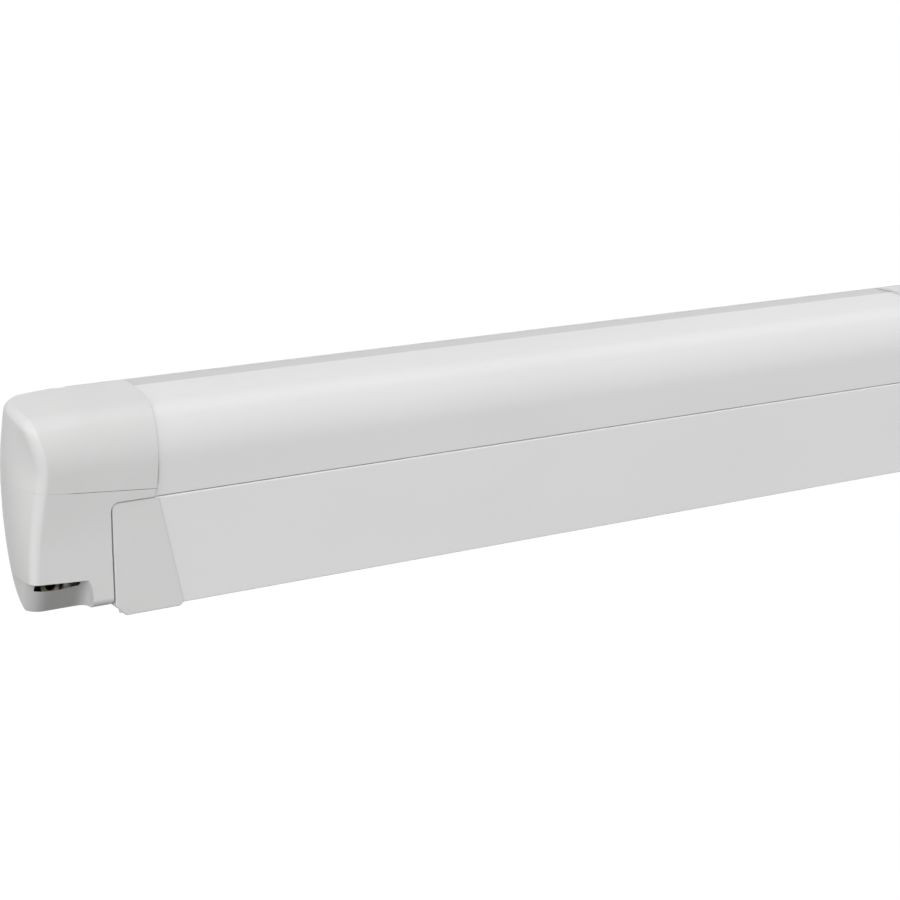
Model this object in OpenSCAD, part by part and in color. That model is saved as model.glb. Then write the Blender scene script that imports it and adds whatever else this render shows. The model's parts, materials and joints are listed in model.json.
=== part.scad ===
/* [Cassette] */
// Length of the housing extrusion, under both end caps
housing_l = 962; // [800:2:2400]
// Distance from the wall to the back of the housing
back_gap = 10; // [9:0.5:14]
// Height of the flat top above the centre of the wall bolts
top_z = 80.5; // [76:0.5:90]
// Depth of the flat strip along the top
top_flat = 27; // [22:0.5:30]
// Wall of the housing extrusion
housing_wall = 2.5; // [2:0.1:3]
// Radius of the nearly flat top of the hood
hood_top_r = 150; // [140:1:170]
// Radius of the hood's front corner
hood_corner_r = 20; // [16:0.5:24]
// Radius of the hood's bowed front
hood_front_r = 105; // [98:1:112]
// Height from the housing floor to the hood's lower edge
mouth_h = 88; // [86:0.5:94]
// Height of the sealing strip above the flat top
seal_h = 3; // [2:0.5:5]

/* [End caps] */
// Length of an end cap from its seam to its furthest point
cap_reach = 118; // [114:1:132]
// How much less the end stands out at its top and bottom
cap_bow = 7; // [4:0.5:12]
// Radius of the rounded edge round a cap's end
cap_edge_r = 7; // [5:0.5:8]
// Overlap of an end cap on the housing extrusion
cap_overlap = 49; // [40:1:55]
// Wall of an end cap
cap_wall = 2; // [1.6:0.1:2.4]
// Height of the parting line above the hood's lower edge, at the seam
parting_h = 7; // [6:0.5:10]
// How far the parting line climbs from the seam to the end of the cap
parting_rise = 10; // [0:0.5:14]
// Height of the crank recess above the cap's underside
recess_h = 26; // [24:0.5:30]
// Width of the slot in the wall of the crank recess
slot_w = 37; // [30:1:38]
// Thickness of an end plate
plate_t = 6; // [5:0.5:8]

/* [Roller and canopy] */
// Radius of the roller tube
roller_r = 25; // [22:0.5:26]
// Wall of the roller tube
roller_wall = 1.5; // [1:0.1:2.5]
// Radius of the canopy wound on the roller
wound_r = 31; // [28:0.25:31.5]
// Thickness of the canopy
canopy_t = 0.8; // [0.5:0.1:1.2]
// Radius of the hem bead
bead_r = 2.6; // [2.2:0.1:3]

/* [Winch] */
// Teeth of the worm wheel
wheel_teeth = 16; // [14:1:18]
// Mean radius of the worm wheel
wheel_r = 13; // [12.5:0.1:13.3]
// Height of a wheel tooth either side of the mean radius
tooth_h = 1.1; // [0.9:0.1:1.2]
// Mean radius of the worm
worm_r = 6; // [5.6:0.1:6.2]
// Height of the worm's thread either side of its mean radius
thread_h = 1.5; // [1.2:0.1:1.5]
// Face width of the worm wheel
wheel_t = 8; // [6:0.5:9]
// Mean radius of the winch eye
eye_ring_r = 6.5; // [6:0.25:7]
// Radius of the winch eye's section
eye_wire_r = 2.2; // [1.8:0.1:2.4]

/* [Arms] */
// Slope of the arms and of the canopy's path
arm_pitch = 8; // [5:0.5:10]
// Distance from a shoulder pivot to the end of the housing
shoulder_inset = 81; // [75:1:100]
// Gap between the two elbows when folded
elbow_gap = 24; // [16:1:40]
// Depth of an arm tube
arm_w = 22; // [19:0.5:23]
// Height of an arm tube
arm_h = 34; // [30:0.5:36]
// Wall of an arm tube
arm_wall = 2; // [1.5:0.1:3]
// Distance from the elbow axis to the middle of an arm tube
arm_offset = 14; // [13.5:0.25:15]
// Radius of a pivot eye
pivot_eye_r = 13; // [11:0.5:13.5]
// Radius of a pivot pin
pivot_pin_r = 5; // [4:0.5:6]
// Thickness of the tongue in a pivot
tongue_t = 11; // [9:0.5:13]
// Thickness of each cheek of a pivot
cheek_t = 7.5; // [6:0.5:9]
// Turns of the spring in each upper arm
spring_turns = 18; // [10:1:24]

/* [Lead rail] */
// How much shorter the lead rail extrusion is than the housing
rail_short = 22; // [20:0.5:30]
// Height of the lead rail
rail_h = 97; // [95:0.5:104]
// Front wall of the lead rail
rail_wall = 2.5; // [2:0.1:3]
// Inner walls of the lead rail
rail_web = 2; // [1.6:0.1:2.5]
// Width of a leg lane
lane_w = 20.5; // [20:0.25:21]
// Depth of a leg lane
lane_h = 26; // [25:0.5:28]
// How far a lead rail cap stands in front of the rail
rail_cap_proud = 1.2; // [0.8:0.1:1.6]
// Thickness of a lead rail cap's end wall
rail_cap_end = 3.8; // [3:0.1:5]
// Length of a lead rail cap along its top edge
rail_cap_top_l = 38; // [30:1:50]
// Length of a lead rail cap along its bottom edge
rail_cap_bottom_l = 65; // [52:1:75]

/* [Support legs] */
// Depth of a leg tube
leg_w = 15; // [13:0.5:15.5]
// Height of a leg tube
leg_h = 19; // [16:0.5:19.5]
// Wall of a leg tube
leg_wall = 1.5; // [1.2:0.1:2]
// Length of a leg tube
leg_l = 385; // [300:1:390]
// How far an inner tube stands out of its leg tube when stowed
leg_stub = 12; // [11:0.5:20]
// Radius of a leg pin
leg_pin_r = 3; // [2.5:0.25:3.5]
// Distance from a leg pin to the end of the lead rail
leg_inset = 24; // [22:0.5:30]

/* [Wall brackets] */
// Distance between the middles of the two wall brackets
bracket_span = 600; // [400:5:700]
// Width of a wall bracket
bracket_w = 100; // [60:1:140]
// Thickness of a wall bracket's plate
bracket_t = 5; // [4:0.25:5.5]
// Distance between the two bolts of a wall bracket
bolt_span = 50; // [40:1:60]
// Radius of a wall bolt hole
bolt_r = 4.25; // [3:0.25:5]

/* [Hidden] */
$fn = 48;
eps = 0.01;
// Clearances: sliding, running on a pin, and between pieces that pass each other
fit = 0.3;
run = 0.05;
pass = 0.5;
// A length that reaches past every piece
far = 300;

// Hood: directions of its outward normal, from straight up towards the front
hood_n = [5, 18, 68, 105];
back_y = -back_gap;
inner_y = back_y - housing_wall;
crease = [back_y - top_flat, top_z];
function dir(n) = [-sin(n), cos(n)];
hood_c1 = crease - hood_top_r * dir(hood_n[0]);
hood_c2 = hood_c1 + (hood_top_r - hood_corner_r) * dir(hood_n[1]);
hood_c3 = hood_c2 + (hood_corner_r - hood_front_r) * dir(hood_n[2]);
function arc(c, r, n0, n1, k, from = 0) = [for (i = [from:k]) c + r * dir(n0 + (n1 - n0) * i / k)];
function hood_path(t) = concat(
    arc(hood_c1, hood_top_r - t, hood_n[0], hood_n[1], 6),
    arc(hood_c2, hood_corner_r - t, hood_n[1], hood_n[2], 10, 1),
    arc(hood_c3, hood_front_r - t, hood_n[2], hood_n[3], 10, 1));
function reversed(v) = [for (i = [len(v) - 1:-1:0]) v[i]];
function unit(v) = v / norm(v);
// Arc of radius r that rounds the corner b between a and c
function fillet(a, b, c, r, k = 5) = let (u = unit(a - b), v = unit(c - b), h = acos(u * v) / 2,
        o = b + unit(u + v) * r / sin(h), p = b + u * r / tan(h) - o, q = b + v * r / tan(h) - o)
    [for (i = [0:k]) o + r * unit(p * (k - i) + q * i)];
lip = hood_c3 + hood_front_r * dir(hood_n[3]);
lip_z = lip[1];
floor_z = lip_z - mouth_h;

// Housing
housing_end = housing_l / 2;
floor_depth = 22;
floor_front_y = inner_y - floor_depth;
hook_z = 54;
hook_t = 3;
hook_drop = 6;
hook_lip = 2;
ledge_z = -48;
lock_y = back_y + 2.5;
lock_head_r = 2.2;
shelf_t = 4;
tongue_z = hook_z - hook_drop - 1;
port_r = 4.5;
port_inset = 6.5;
ports = [
    [inner_y - port_inset, top_z - housing_wall - port_inset],
    hood_c2 + (hood_corner_r - housing_wall - port_r + 0.5) * dir(45),
    [inner_y - port_inset, floor_z + housing_wall + port_inset]];
screw_r = 1.8;
screw_hole_r = 2;
screw_head_r = 3.8;
screw_head_t = 2.4;
// Sealing strip: distance from the back, width of its foot in the groove, depth of the groove, width above it
seal_back = 1;
seal_foot = 1.6;
seal_depth = 1.2;
seal_w = 3;
seal_front_y = back_y - seal_back - seal_foot - 0.8;

// End caps
seam_x = housing_end - cap_overlap;
cap_end = seam_x + cap_reach;
parting_z = lip_z + parting_h;
cap_bottom_z = floor_z - cap_wall - fit;
cap_front_y = lip[0] + fit - rail_cap_proud;
cap_corner_r = 8;
cap_back_cut = 15;
cap_back_steps = 9;
cap_top_steps = 4;
parting_gap = 0.4;
// Hollow sweep from the hood's lower edge into the upright front of a cap
sweep_r = (cap_front_y + cap_wall + fit - lip[0]) / (1 - sin(hood_n[3]));
sweep_c = hood_c3 + (hood_front_r + sweep_r) * dir(hood_n[3]);
// End of a cap: depth and height of its furthest point, how far its front and back edges stay behind that,
// over what height the front edge draws back from nothing, and from where on its back is closed
end_peak = [cap_front_y + 42.6, lip_z + 9.3];
end_half_h = 90;
end_front = 23;
end_back = 14;
end_twist_z = cap_bottom_z + 14.6;
end_twist_h = 95;
end_rounds = 5;
end_rings = 6;
end_mid = [(back_y + cap_front_y) / 2, (top_z + cap_bottom_z) / 2];
// Beyond the end plates the cap's top falls a little towards its end
end_fall = 7;
fall_x = housing_end + plate_t + 2;
fall_z = lip_z + 34;
closed_x = min([for (p = cap_outline(-fit, back_y)) end_reach(p)]) - cap_edge_r - cap_wall - 4;
rail_end = (housing_l - rail_short) / 2;
nest_gap = 1.5;
nest_x = rail_end + rail_cap_end + nest_gap;
nest_top_z = lip_z - 0.1;
nest_r = 7.5;
recess_x = nest_x + 18.5;
recess_r = 8;
recess_top_y = cap_front_y + 4;
plate_play = 0.7;
plate_corner_r = 6;
cap_screw_x = housing_end + plate_t / 2;
cap_screw_y = [cap_front_y + 30, back_y - 16];
cap_screw_l = 10;
pad_r = plate_t / 2 - 0.2;

// Roller, wheel and worm
roller_y = inner_y - wound_r - 2;
roller_z = lip_z + wound_r + 3.3;
roller_end = housing_end - 19;
shaft_r = 7;
wheel_shaft_r = 6;
bush_r = 10;
wheel_x = housing_end + 42;
gear_gap = 0.7;
worm_y = roller_y - wheel_r - worm_r - gear_gap;
worm_pitch = 2 * PI * wheel_r / wheel_teeth;
worm_shaft_r = 4;
worm_half = 12;
worm_rings = 56;
case_r = wheel_r + tooth_h + 4.4;
worm_case_r = worm_r + thread_h + 3;
case_half = worm_half + 5;
case_cover_t = 3;
case_cover_r = case_r - 2;
case_open_x = wheel_x + worm_case_r;
case_foot_t = 4;
eye_sweep = eye_ring_r + eye_wire_r;
recess_foot_y = worm_y - eye_sweep + 0.4;
recess_z = cap_bottom_z + recess_h;
slot_bottom_z = recess_z - 6;
slot_x = wheel_x - 4.5;
eye_z = recess_z - 6;
eye_neck = 6;

// Arms, in a frame on the elbow axes that slopes with the arms
elbow_y = inner_y - arm_offset - arm_w / 2 - 7.5;
elbow_z = lip_z - 38;
shoulder_x = housing_end - shoulder_inset;
elbow_x = elbow_gap / 2 + pivot_eye_r;
knuckle_back = pivot_eye_r + 3;
knuckle_l = 14;
spigot_l = 24;
tube_inset = knuckle_back + knuckle_l;
cheek_in = tongue_t / 2 + pass;
cheek_out = cheek_in + cheek_t;
pin_head_t = 2;
spring_r = arm_w / 2 - arm_wall - 2.2;
spring_wire = 1.1;
spring_l = 150;
elbow_root_l = 12;
pivot_base_half = 24;
pivot_base_t = 4;
pivot_drop = 30;
pivot_rise = [26, 22];
pivot_reach = 60;
plug_l = 30;
plug_rim = 3;
plate_screw_l = 14;
plate_windows = [
    [elbow_y - arm_offset - 3, elbow_z, 26, 44],
    [elbow_y + arm_offset + 3, elbow_z, 18, 44]];
window_r = 6;

// Lead rail
rail_front_y = lip[0] + fit;
rail_top_z = lip_z - 1.1;
rail_bottom_z = rail_top_z - rail_h;
rail_in_y = rail_front_y + rail_wall;
lane_top_z = rail_bottom_z + 3 + lane_h;
lane_mid_y = [rail_in_y + lane_w / 2, rail_in_y + lane_w * 1.5 + rail_web];
rail_back_y = rail_in_y + 2 * (lane_w + rail_web);
bead_wall = 1.8;
bead_slit = 2.2;
bead_y = rail_in_y + bead_r + bead_wall + 3;
bead_z = rail_top_z - 2 - bead_r - bead_wall;
rail_cap_round = [6, 5];
rail_cap_chamfer = 9;
rail_cap_lip = 2.5;
rail_cap_rise = 0.5;

// Support legs
leg_pin_x = rail_end - leg_inset;
leg_z = lane_top_z - 13;
leg_bracket_t = 2;
leg_bracket_l = 26;
leg_bracket_drop = 10;
leg_eye_r = 8.5;
leg_start = 20;
leg_gap = 0.4;
collar_l = 10;
collar_w = 1.7;
foot_l = 16;
inner_w = leg_w - 2 * (leg_wall + leg_gap);
inner_h = leg_h - 2 * (leg_wall + leg_gap);
inner_back = 12;

// Shared helpers
module along_x(x0, x1) translate([x0, 0, 0]) rotate([90, 0, 90]) linear_extrude(x1 - x0) children();
module rod_x(x0, x1, y, z, r) translate([x0, y, z]) rotate([0, 90, 0]) cylinder(h = x1 - x0, r = r);
module rod_y(y0, y1, x, z, r) translate([x, y0, z]) rotate([-90, 0, 0]) cylinder(h = y1 - y0, r = r);
module rod_z(z0, z1, x, y, r) translate([x, y, z0]) cylinder(h = z1 - z0, r = r);
module block(a, b) translate(a) cube(b - a);
module right() mirror([1, 0, 0]) children();
module both() {
    children();
    right() children();
}
module arm_frame() translate([0, elbow_y, elbow_z]) rotate([arm_pitch, 0, 0]) children();
function rounded(w, h, r, k = 4) = [
    for (q = [0:3])
        for (i = [0:k])
            let (a = 90 * (q + i / k), sx = q == 0 || q == 3 ? 1 : -1, sy = q < 2 ? 1 : -1)
            [sx * (w / 2 - r) + r * cos(a), sy * (h / 2 - r) + r * sin(a)]];
module tube_x(x0, x1, y, z, w, h, wall, r) translate([0, y, z]) along_x(x0, x1) difference() {
    polygon(rounded(w, h, r));
    polygon(rounded(w - 2 * wall, h - 2 * wall, max(r - wall, 0.5)));
}
module bar_x(x0, x1, y, z, w, h, r) translate([0, y, z]) along_x(x0, x1) polygon(rounded(w, h, r));

// Housing extrusion: back, top, hood and floor in one profile, with the rails that the wall brackets hold
function housing_outline() = concat(
    [[back_y, floor_z], [back_y, top_z]],
    hood_path(0),
    reversed(hood_path(housing_wall)),
    [[inner_y, top_z - housing_wall], [inner_y, floor_z + housing_wall],
    [floor_front_y, floor_z + housing_wall], [floor_front_y, floor_z]]);
module housing_profile() color("white") difference() {
    along_x(-housing_end, housing_end) {
        polygon(housing_outline());
        for (p = ports) translate(p) circle(port_r);
        // Webs that carry the two screw ports at the back
        translate([inner_y - port_inset, top_z - housing_wall - port_inset]) square([port_inset, port_inset]);
        translate([inner_y - port_inset, floor_z]) square([port_inset, port_inset + housing_wall]);
        // Hook rail and ledge for the wall brackets
        translate([back_y - eps, hook_z]) square([bracket_t + hook_lip, hook_t]);
        translate([back_y + bracket_t, hook_z - hook_drop]) square([hook_lip, hook_drop + hook_t]);
        translate([back_y - eps, ledge_z]) square([back_gap - bracket_t, hook_t]);
    }
    for (p = ports) rod_x(-housing_end - 1, housing_end + 1, p[0], p[1], screw_hole_r);
    for (s = [-1, 1]) rod_z(ledge_z - 1, ledge_z + hook_t + 1, s * bracket_span / 2, lock_y, screw_hole_r);
    // Groove that holds the sealing strip
    block([-housing_end - 1, back_y - seal_back - seal_foot, top_z - seal_depth],
        [housing_end + 1, back_y - seal_back, top_z + 1]);
}
module rear_seal() color("white") along_x(-housing_end, housing_end) {
    translate([back_y - seal_back - seal_foot + run, top_z - seal_depth])
        square([seal_foot - 2 * run, seal_depth + 1]);
    translate([seal_front_y, top_z]) square([seal_w, seal_h - 1]);
    translate([seal_front_y + seal_w / 2, top_z + seal_h - 1]) circle(seal_w / 2);
}

// End caps: a lofted moulding that slips over the end of the housing and closes in a dome
function front_path(t) = concat(
    hood_path(t),
    [for (i = [1:4]) sweep_c - (sweep_r + t) * dir(hood_n[3] + (90 - hood_n[3]) * i / 4)]);
function cap_outline(t, y) = let (z = cap_bottom_z + t + cap_wall + fit, f = cap_front_y + t + cap_wall + fit)
    concat(
        [for (i = [0:cap_top_steps - 1]) [y + (crease[0] - y) * i / cap_top_steps, top_z - t]],
        front_path(t),
        arc([f + cap_corner_r, z + cap_corner_r], cap_corner_r, 90, 180, 5),
        [for (i = [0:cap_back_steps - 1]) [y, z + (top_z - t - z) * i / cap_back_steps]]);
// How far the end stands out at a point of its outline
function end_reach(p) = let (h = (p[1] - end_peak[1]) / end_half_h, front = p[0] < end_peak[0],
        u = (p[0] - end_peak[0]) / ((front ? cap_front_y : back_y) - end_peak[0]),
        twist = min(max((p[1] - end_twist_z) / end_twist_h, 0), 1.1))
    cap_end - cap_bow * h * h - (front ? end_front * twist : end_back) * u * u;
function lowered(p) = p - [0, 0, end_fall * pow(max(-p[0] - fall_x, 0) / (cap_end - fall_x), 2)
    * max(p[2] - fall_z, 0) / (top_z - fall_z)];
// One ring of the end: the outline set in except below, drawn in by a share and dropped back
function end_ring(outline, inset, share, drop) = let (ky = 1 - 2 * inset / (back_y - cap_front_y),
        kz = 1 - 2 * inset / (top_z - cap_bottom_z))
    [for (p = outline) let (d = p - end_mid, q = end_mid + share * [ky * d[0], (d[1] > 0 ? kz : 1) * d[1]])
        lowered([drop - end_reach(q), q[0], q[1]])];
function cap_rings(outline, starts, wall) = concat(
    [for (x = starts) [for (p = outline) lowered([-x, p[0], p[1]])]],
    [for (i = [0:end_rounds]) let (a = 90 * i / end_rounds)
        end_ring(outline, cap_edge_r * (1 - cos(a)), 1, wall + cap_edge_r * (1 - sin(a)))],
    [for (i = [1:end_rings]) end_ring(outline, cap_edge_r, 1 - i / (end_rings + 0.5), wall)]);
function ring_mid(r) = [for (i = [0:2]) let (v = [for (p = r) p[i]]) (min(v) + max(v)) / 2];
module loft(rings) {
    n = len(rings[0]);
    m = len(rings);
    polyhedron(
        points = concat([for (r = rings) each r], [ring_mid(rings[0]), ring_mid(rings[m - 1])]),
        faces = concat(
            [for (j = [0:n - 1]) [m * n, j, (j + 1) % n]],
            [for (i = [0:m - 2], j = [0:n - 1]) each let (a = i * n + j, b = i * n + (j + 1) % n)
                [[a, a + n, b + n], [a, b + n, b]]],
            [for (j = [0:n - 1]) [m * n + 1, (m - 1) * n + (j + 1) % n, (m - 1) * n + j]]));
}
module cap_solid() loft(reversed(cap_rings(cap_outline(-cap_wall - fit, back_y),
    [seam_x, fall_x, (fall_x + closed_x) / 2, closed_x], 0)));
// The hollow is open at the back along the straight part and closed behind the end
module cap_cavity() {
    along_x(-closed_x, -seam_x + 1) polygon(cap_outline(-fit, back_y + cap_back_cut));
    loft(reversed(cap_rings(cap_outline(-fit, back_y - cap_wall), [closed_x - 1], cap_wall)));
}
// Space on one side of the sloping parting line, to the height out
function parting_at(x) = parting_z + parting_rise * (-x - seam_x) / (cap_end - seam_x);
module beyond_parting(drop, out) translate([0, far, 0]) rotate([90, 0, 0]) linear_extrude(2 * far)
    polygon([for (q = [[-seam_x + 5, 0], [-cap_end - 5, 0], [-cap_end - 5, 1], [-seam_x + 5, 1]])
        [q[0], q[1] == 0 ? parting_at(q[0]) - drop : out]]);
module strip_notch() block([-housing_end - fit, seal_front_y - fit, top_z - 2], [-seam_x + 5, far, far]);
// Space for the lead rail's end, and the same with the cap's wall round it
module rail_nest(wall) translate([0, rail_back_y + 3, 0]) rotate([90, 0, 0]) linear_extrude(far)
    polygon(concat(
        fillet([-nest_x - wall, -far], [-nest_x - wall, nest_top_z], [0, nest_top_z], nest_r + wall),
        [[-seam_x + 5, nest_top_z], [-seam_x + 5, -far], [-nest_x - wall, -far]]));
// Space for the crank: its wall leans back towards its foot and is rounded into the front at one end
function recess_ring(wall, z) = let (x = wall - recess_x,
        y = recess_top_y + wall + (recess_foot_y - recess_top_y) * (recess_z - z) / recess_h)
    [for (p = concat([[-cap_end - far, y], [-cap_end - far, -far], [x, -far]],
            fillet([x, -far], [x, y], [-far * 9, y], recess_r + wall)))
        [p[0], p[1], z]];
module crank_recess(wall) loft([recess_ring(wall, cap_bottom_z - 9), recess_ring(wall, recess_z + wall)]);
module upper_cap() color("white") difference() {
    intersection() {
        cap_solid();
        beyond_parting(0, far);
    }
    cap_cavity();
    strip_notch();
}
module lower_cap(winch) color("white") difference() {
    intersection() {
        cap_solid();
        beyond_parting(parting_gap, -far);
    }
    rail_nest(0);
    difference() {
        cap_cavity();
        rail_nest(cap_wall);
        if (winch) crank_recess(cap_wall);
        screw_pads();
    }
    if (winch) {
        crank_recess(0);
        block([-slot_x - slot_w / 2, recess_top_y - 1, slot_bottom_z],
            [-slot_x + slot_w / 2, recess_foot_y, recess_z - 0.5]);
    }
    for (y = cap_screw_y) rod_z(cap_bottom_z - 5, floor_z + 10, -cap_screw_x, y, screw_hole_r);
}
module screw_pads() for (y = cap_screw_y)
    rod_z(cap_bottom_z, floor_z + plate_play - fit, -cap_screw_x, y, pad_r);
module left_upper_cap() upper_cap();
module left_lower_cap() lower_cap(true);
module right_upper_cap() right() upper_cap();
module right_lower_cap() right() lower_cap(false);
module screw_z(x, y, z, l, head_r) color("silver") {
    rod_z(z - screw_head_t, z, x, y, head_r);
    rod_z(z, z + l, x, y, screw_r);
}
module cap_screws() both() for (y = cap_screw_y)
    screw_z(-cap_screw_x, y, cap_bottom_z, cap_screw_l, screw_head_r);

// End plates close the housing and carry the roller
function plate_outline(t) = concat(
    [[back_y, top_z - t]],
    front_path(t),
    arc([cap_front_y + cap_wall + fit + t + plate_corner_r, floor_z + t + plate_corner_r],
        plate_corner_r, 90, 180, 5),
    [[back_y, floor_z + t]]);
module end_plate() color("silver") difference() {
    along_x(-housing_end - plate_t, -housing_end) difference() {
        polygon(plate_outline(plate_play));
        for (w = plate_windows) translate([w[0], w[1]]) polygon(rounded(w[2], w[3], window_r));
    }
    rod_x(-housing_end - plate_t - 1, -housing_end + 1, roller_y, roller_z, bush_r);
    for (p = ports) rod_x(-housing_end - plate_t - 1, -housing_end + 1, p[0], p[1], screw_hole_r);
    for (y = cap_screw_y) rod_z(floor_z - 5, cap_bottom_z + cap_screw_l + 1, -cap_screw_x, y, screw_hole_r);
    // Clearance for the sealing strip
    block([-housing_end - plate_t - 1, seal_front_y - fit, top_z - 2],
        [-housing_end + 1, back_y + 1, top_z + 20]);
}
module left_end_plate() end_plate();
module right_end_plate() right() end_plate();
module plate_screws() color("silver") both() for (p = ports) {
    rod_x(-housing_end - plate_t - screw_head_t, -housing_end - plate_t, p[0], p[1], screw_head_r);
    rod_x(-housing_end - plate_t, -housing_end + plate_screw_l, p[0], p[1], screw_r);
}
module roller_bushes() color("ivory") both() difference() {
    union() {
        rod_x(-housing_end - plate_t, -housing_end, roller_y, roller_z, bush_r - 0.02);
        rod_x(-housing_end, -housing_end + 2, roller_y, roller_z, bush_r + 3);
    }
    rod_x(-housing_end - plate_t - 1, -housing_end + 3, roller_y, roller_z, shaft_r + run);
}

// Winch: a worm on an upright shaft turns the wheel on the end of the roller's shaft
module case_shape(r, w, half) {
    rod_x(-case_open_x, -housing_end - plate_t, roller_y, roller_z, r);
    rod_z(roller_z - half, roller_z + half, -wheel_x, worm_y, w);
    block([-wheel_x - w, worm_y, roller_z - half], [-wheel_x + w, roller_y, roller_z + half]);
}
module gearbox_case() color("dimgray") difference() {
    union() {
        case_shape(case_r, worm_case_r, case_half);
        rod_x(-housing_end - plate_t - case_foot_t, -housing_end - plate_t, roller_y, roller_z, case_r + 5);
    }
    rod_x(-case_open_x - 9, -wheel_x + wheel_t / 2 + 1, roller_y, roller_z, wheel_r + tooth_h + 0.9);
    rod_x(-wheel_x - 9, -housing_end, roller_y, roller_z, shaft_r + 0.5);
    rod_z(roller_z - worm_half - 1, roller_z + worm_half + 1, -wheel_x, worm_y, worm_r + thread_h + 0.8);
    rod_z(roller_z - 90, roller_z + worm_half + 4, -wheel_x, worm_y, worm_shaft_r + run);
}
module gearbox_cover() color("dimgray")
    rod_x(-case_open_x - case_cover_t, -case_open_x, roller_y, roller_z, case_cover_r);
function wheel_outline() = [for (i = [0:wheel_teeth * 8 - 1])
    let (a = 360 * i / (wheel_teeth * 8), r = wheel_r + tooth_h * -cos(a * wheel_teeth))
    [-r * cos(a), r * sin(a)]];
module worm_wheel() color("ivory") difference() {
    translate([0, roller_y, roller_z]) along_x(-wheel_x - wheel_t / 2, -wheel_x + wheel_t / 2)
        polygon(wheel_outline());
    rod_x(-wheel_x - wheel_t, -wheel_x + wheel_t, roller_y, roller_z, wheel_shaft_r + run);
}
// The thread is a round bar, set off its axis, that turns once in each pitch
function worm_ring(i, n) = let (z = 2 * worm_half * i / n - worm_half, a = 90 + 360 * z / worm_pitch)
    [for (k = [0:11]) let (b = 30 * k)
        [thread_h * cos(a) + worm_r * cos(b), thread_h * sin(a) + worm_r * sin(b), z]];
module worm_shaft() color("dimgray") {
    translate([-wheel_x, worm_y, roller_z])
        loft([for (i = [0:worm_rings]) worm_ring(i, worm_rings)]);
    rod_z(eye_z + eye_sweep + eye_neck, roller_z + worm_half + 3.5, -wheel_x, worm_y, worm_shaft_r);
}
module winch_eye() color("ivory") {
    translate([-wheel_x, worm_y, eye_z]) rotate([90, 0, 0]) rotate_extrude()
        translate([eye_ring_r, 0]) circle(eye_wire_r);
    difference() {
        rod_z(eye_z + eye_ring_r, eye_z + eye_sweep + eye_neck + 10, -wheel_x, worm_y, worm_shaft_r + 2);
        rod_z(eye_z + eye_sweep + eye_neck, eye_z + 40, -wheel_x, worm_y, worm_shaft_r + 0.02);
    }
}

// Roller with the wound canopy
module roller_tube() color("silver") difference() {
    rod_x(-roller_end, roller_end, roller_y, roller_z, roller_r);
    rod_x(-roller_end - 1, roller_end + 1, roller_y, roller_z, roller_r - roller_wall);
}
module plug(shaft_end) color("dimgray") {
    rod_x(-roller_end, -roller_end + plug_l, roller_y, roller_z, roller_r - roller_wall - run);
    rod_x(-roller_end - plug_rim, -roller_end, roller_y, roller_z, roller_r);
    rod_x(-shaft_end, -roller_end - plug_rim, roller_y, roller_z, shaft_r);
}
module drive_plug() {
    plug(wheel_x - wheel_t / 2 - 1);
    color("dimgray")
        rod_x(-wheel_x - wheel_t / 2 - 2, -wheel_x + wheel_t / 2 + 1, roller_y, roller_z, wheel_shaft_r);
}
module idle_plug() right() plug(housing_end + plate_t + 4);
module canopy_roll() color("gray") difference() {
    rod_x(-roller_end + 6, roller_end - 6, roller_y, roller_z, wound_r);
    rod_x(-roller_end, roller_end, roller_y, roller_z, roller_r + 0.02);
}
// Free stretch from the underside of the roll to the slit of the lead rail's bead groove
module canopy_stretch() color("gray") {
    start = [roller_y, roller_z - wound_r - canopy_t - 0.2];
    stop = [bead_y + bead_r + bead_wall + 0.3, bead_z + 1.1];
    along_x(-roller_end + 6, roller_end - 6)
        polygon([start, stop, stop + [0, canopy_t], start + [0, canopy_t]]);
}

// Arms: each tube ends in castings with a tongue or a fork for its pivots
module tongue(x, y) {
    rod_z(-tongue_t / 2, tongue_t / 2, x, y, pivot_eye_r);
    block([x, y - pivot_eye_r * 0.8, -tongue_t / 2],
        [x + knuckle_back + 1, y + pivot_eye_r * 0.8, tongue_t / 2]);
}
module spigot(x, y) bar_x(x, x + spigot_l, y, 0, arm_w - 2 * arm_wall - fit, arm_h - 2 * arm_wall - fit, 3);
module in_line_knuckle(y) difference() {
    union() {
        tongue(-shoulder_x, y);
        bar_x(-shoulder_x + knuckle_back, -shoulder_x + tube_inset, y, 0, arm_w, arm_h, 5);
        spigot(-shoulder_x + tube_inset, y);
    }
    rod_z(-arm_h, arm_h, -shoulder_x, y, pivot_pin_r + run);
}
module arm_tube(y) tube_x(-shoulder_x + tube_inset, -elbow_x - tube_inset - elbow_root_l, y, 0,
    arm_w, arm_h, arm_wall, 5);
module elbow_root(y) {
    bar_x(-elbow_x - tube_inset - elbow_root_l, -elbow_x - knuckle_back - 4, y, 0, arm_w, arm_h, 5);
    translate([-2 * elbow_x, 0, 0]) right() spigot(-elbow_x + tube_inset + elbow_root_l, y);
}
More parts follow.
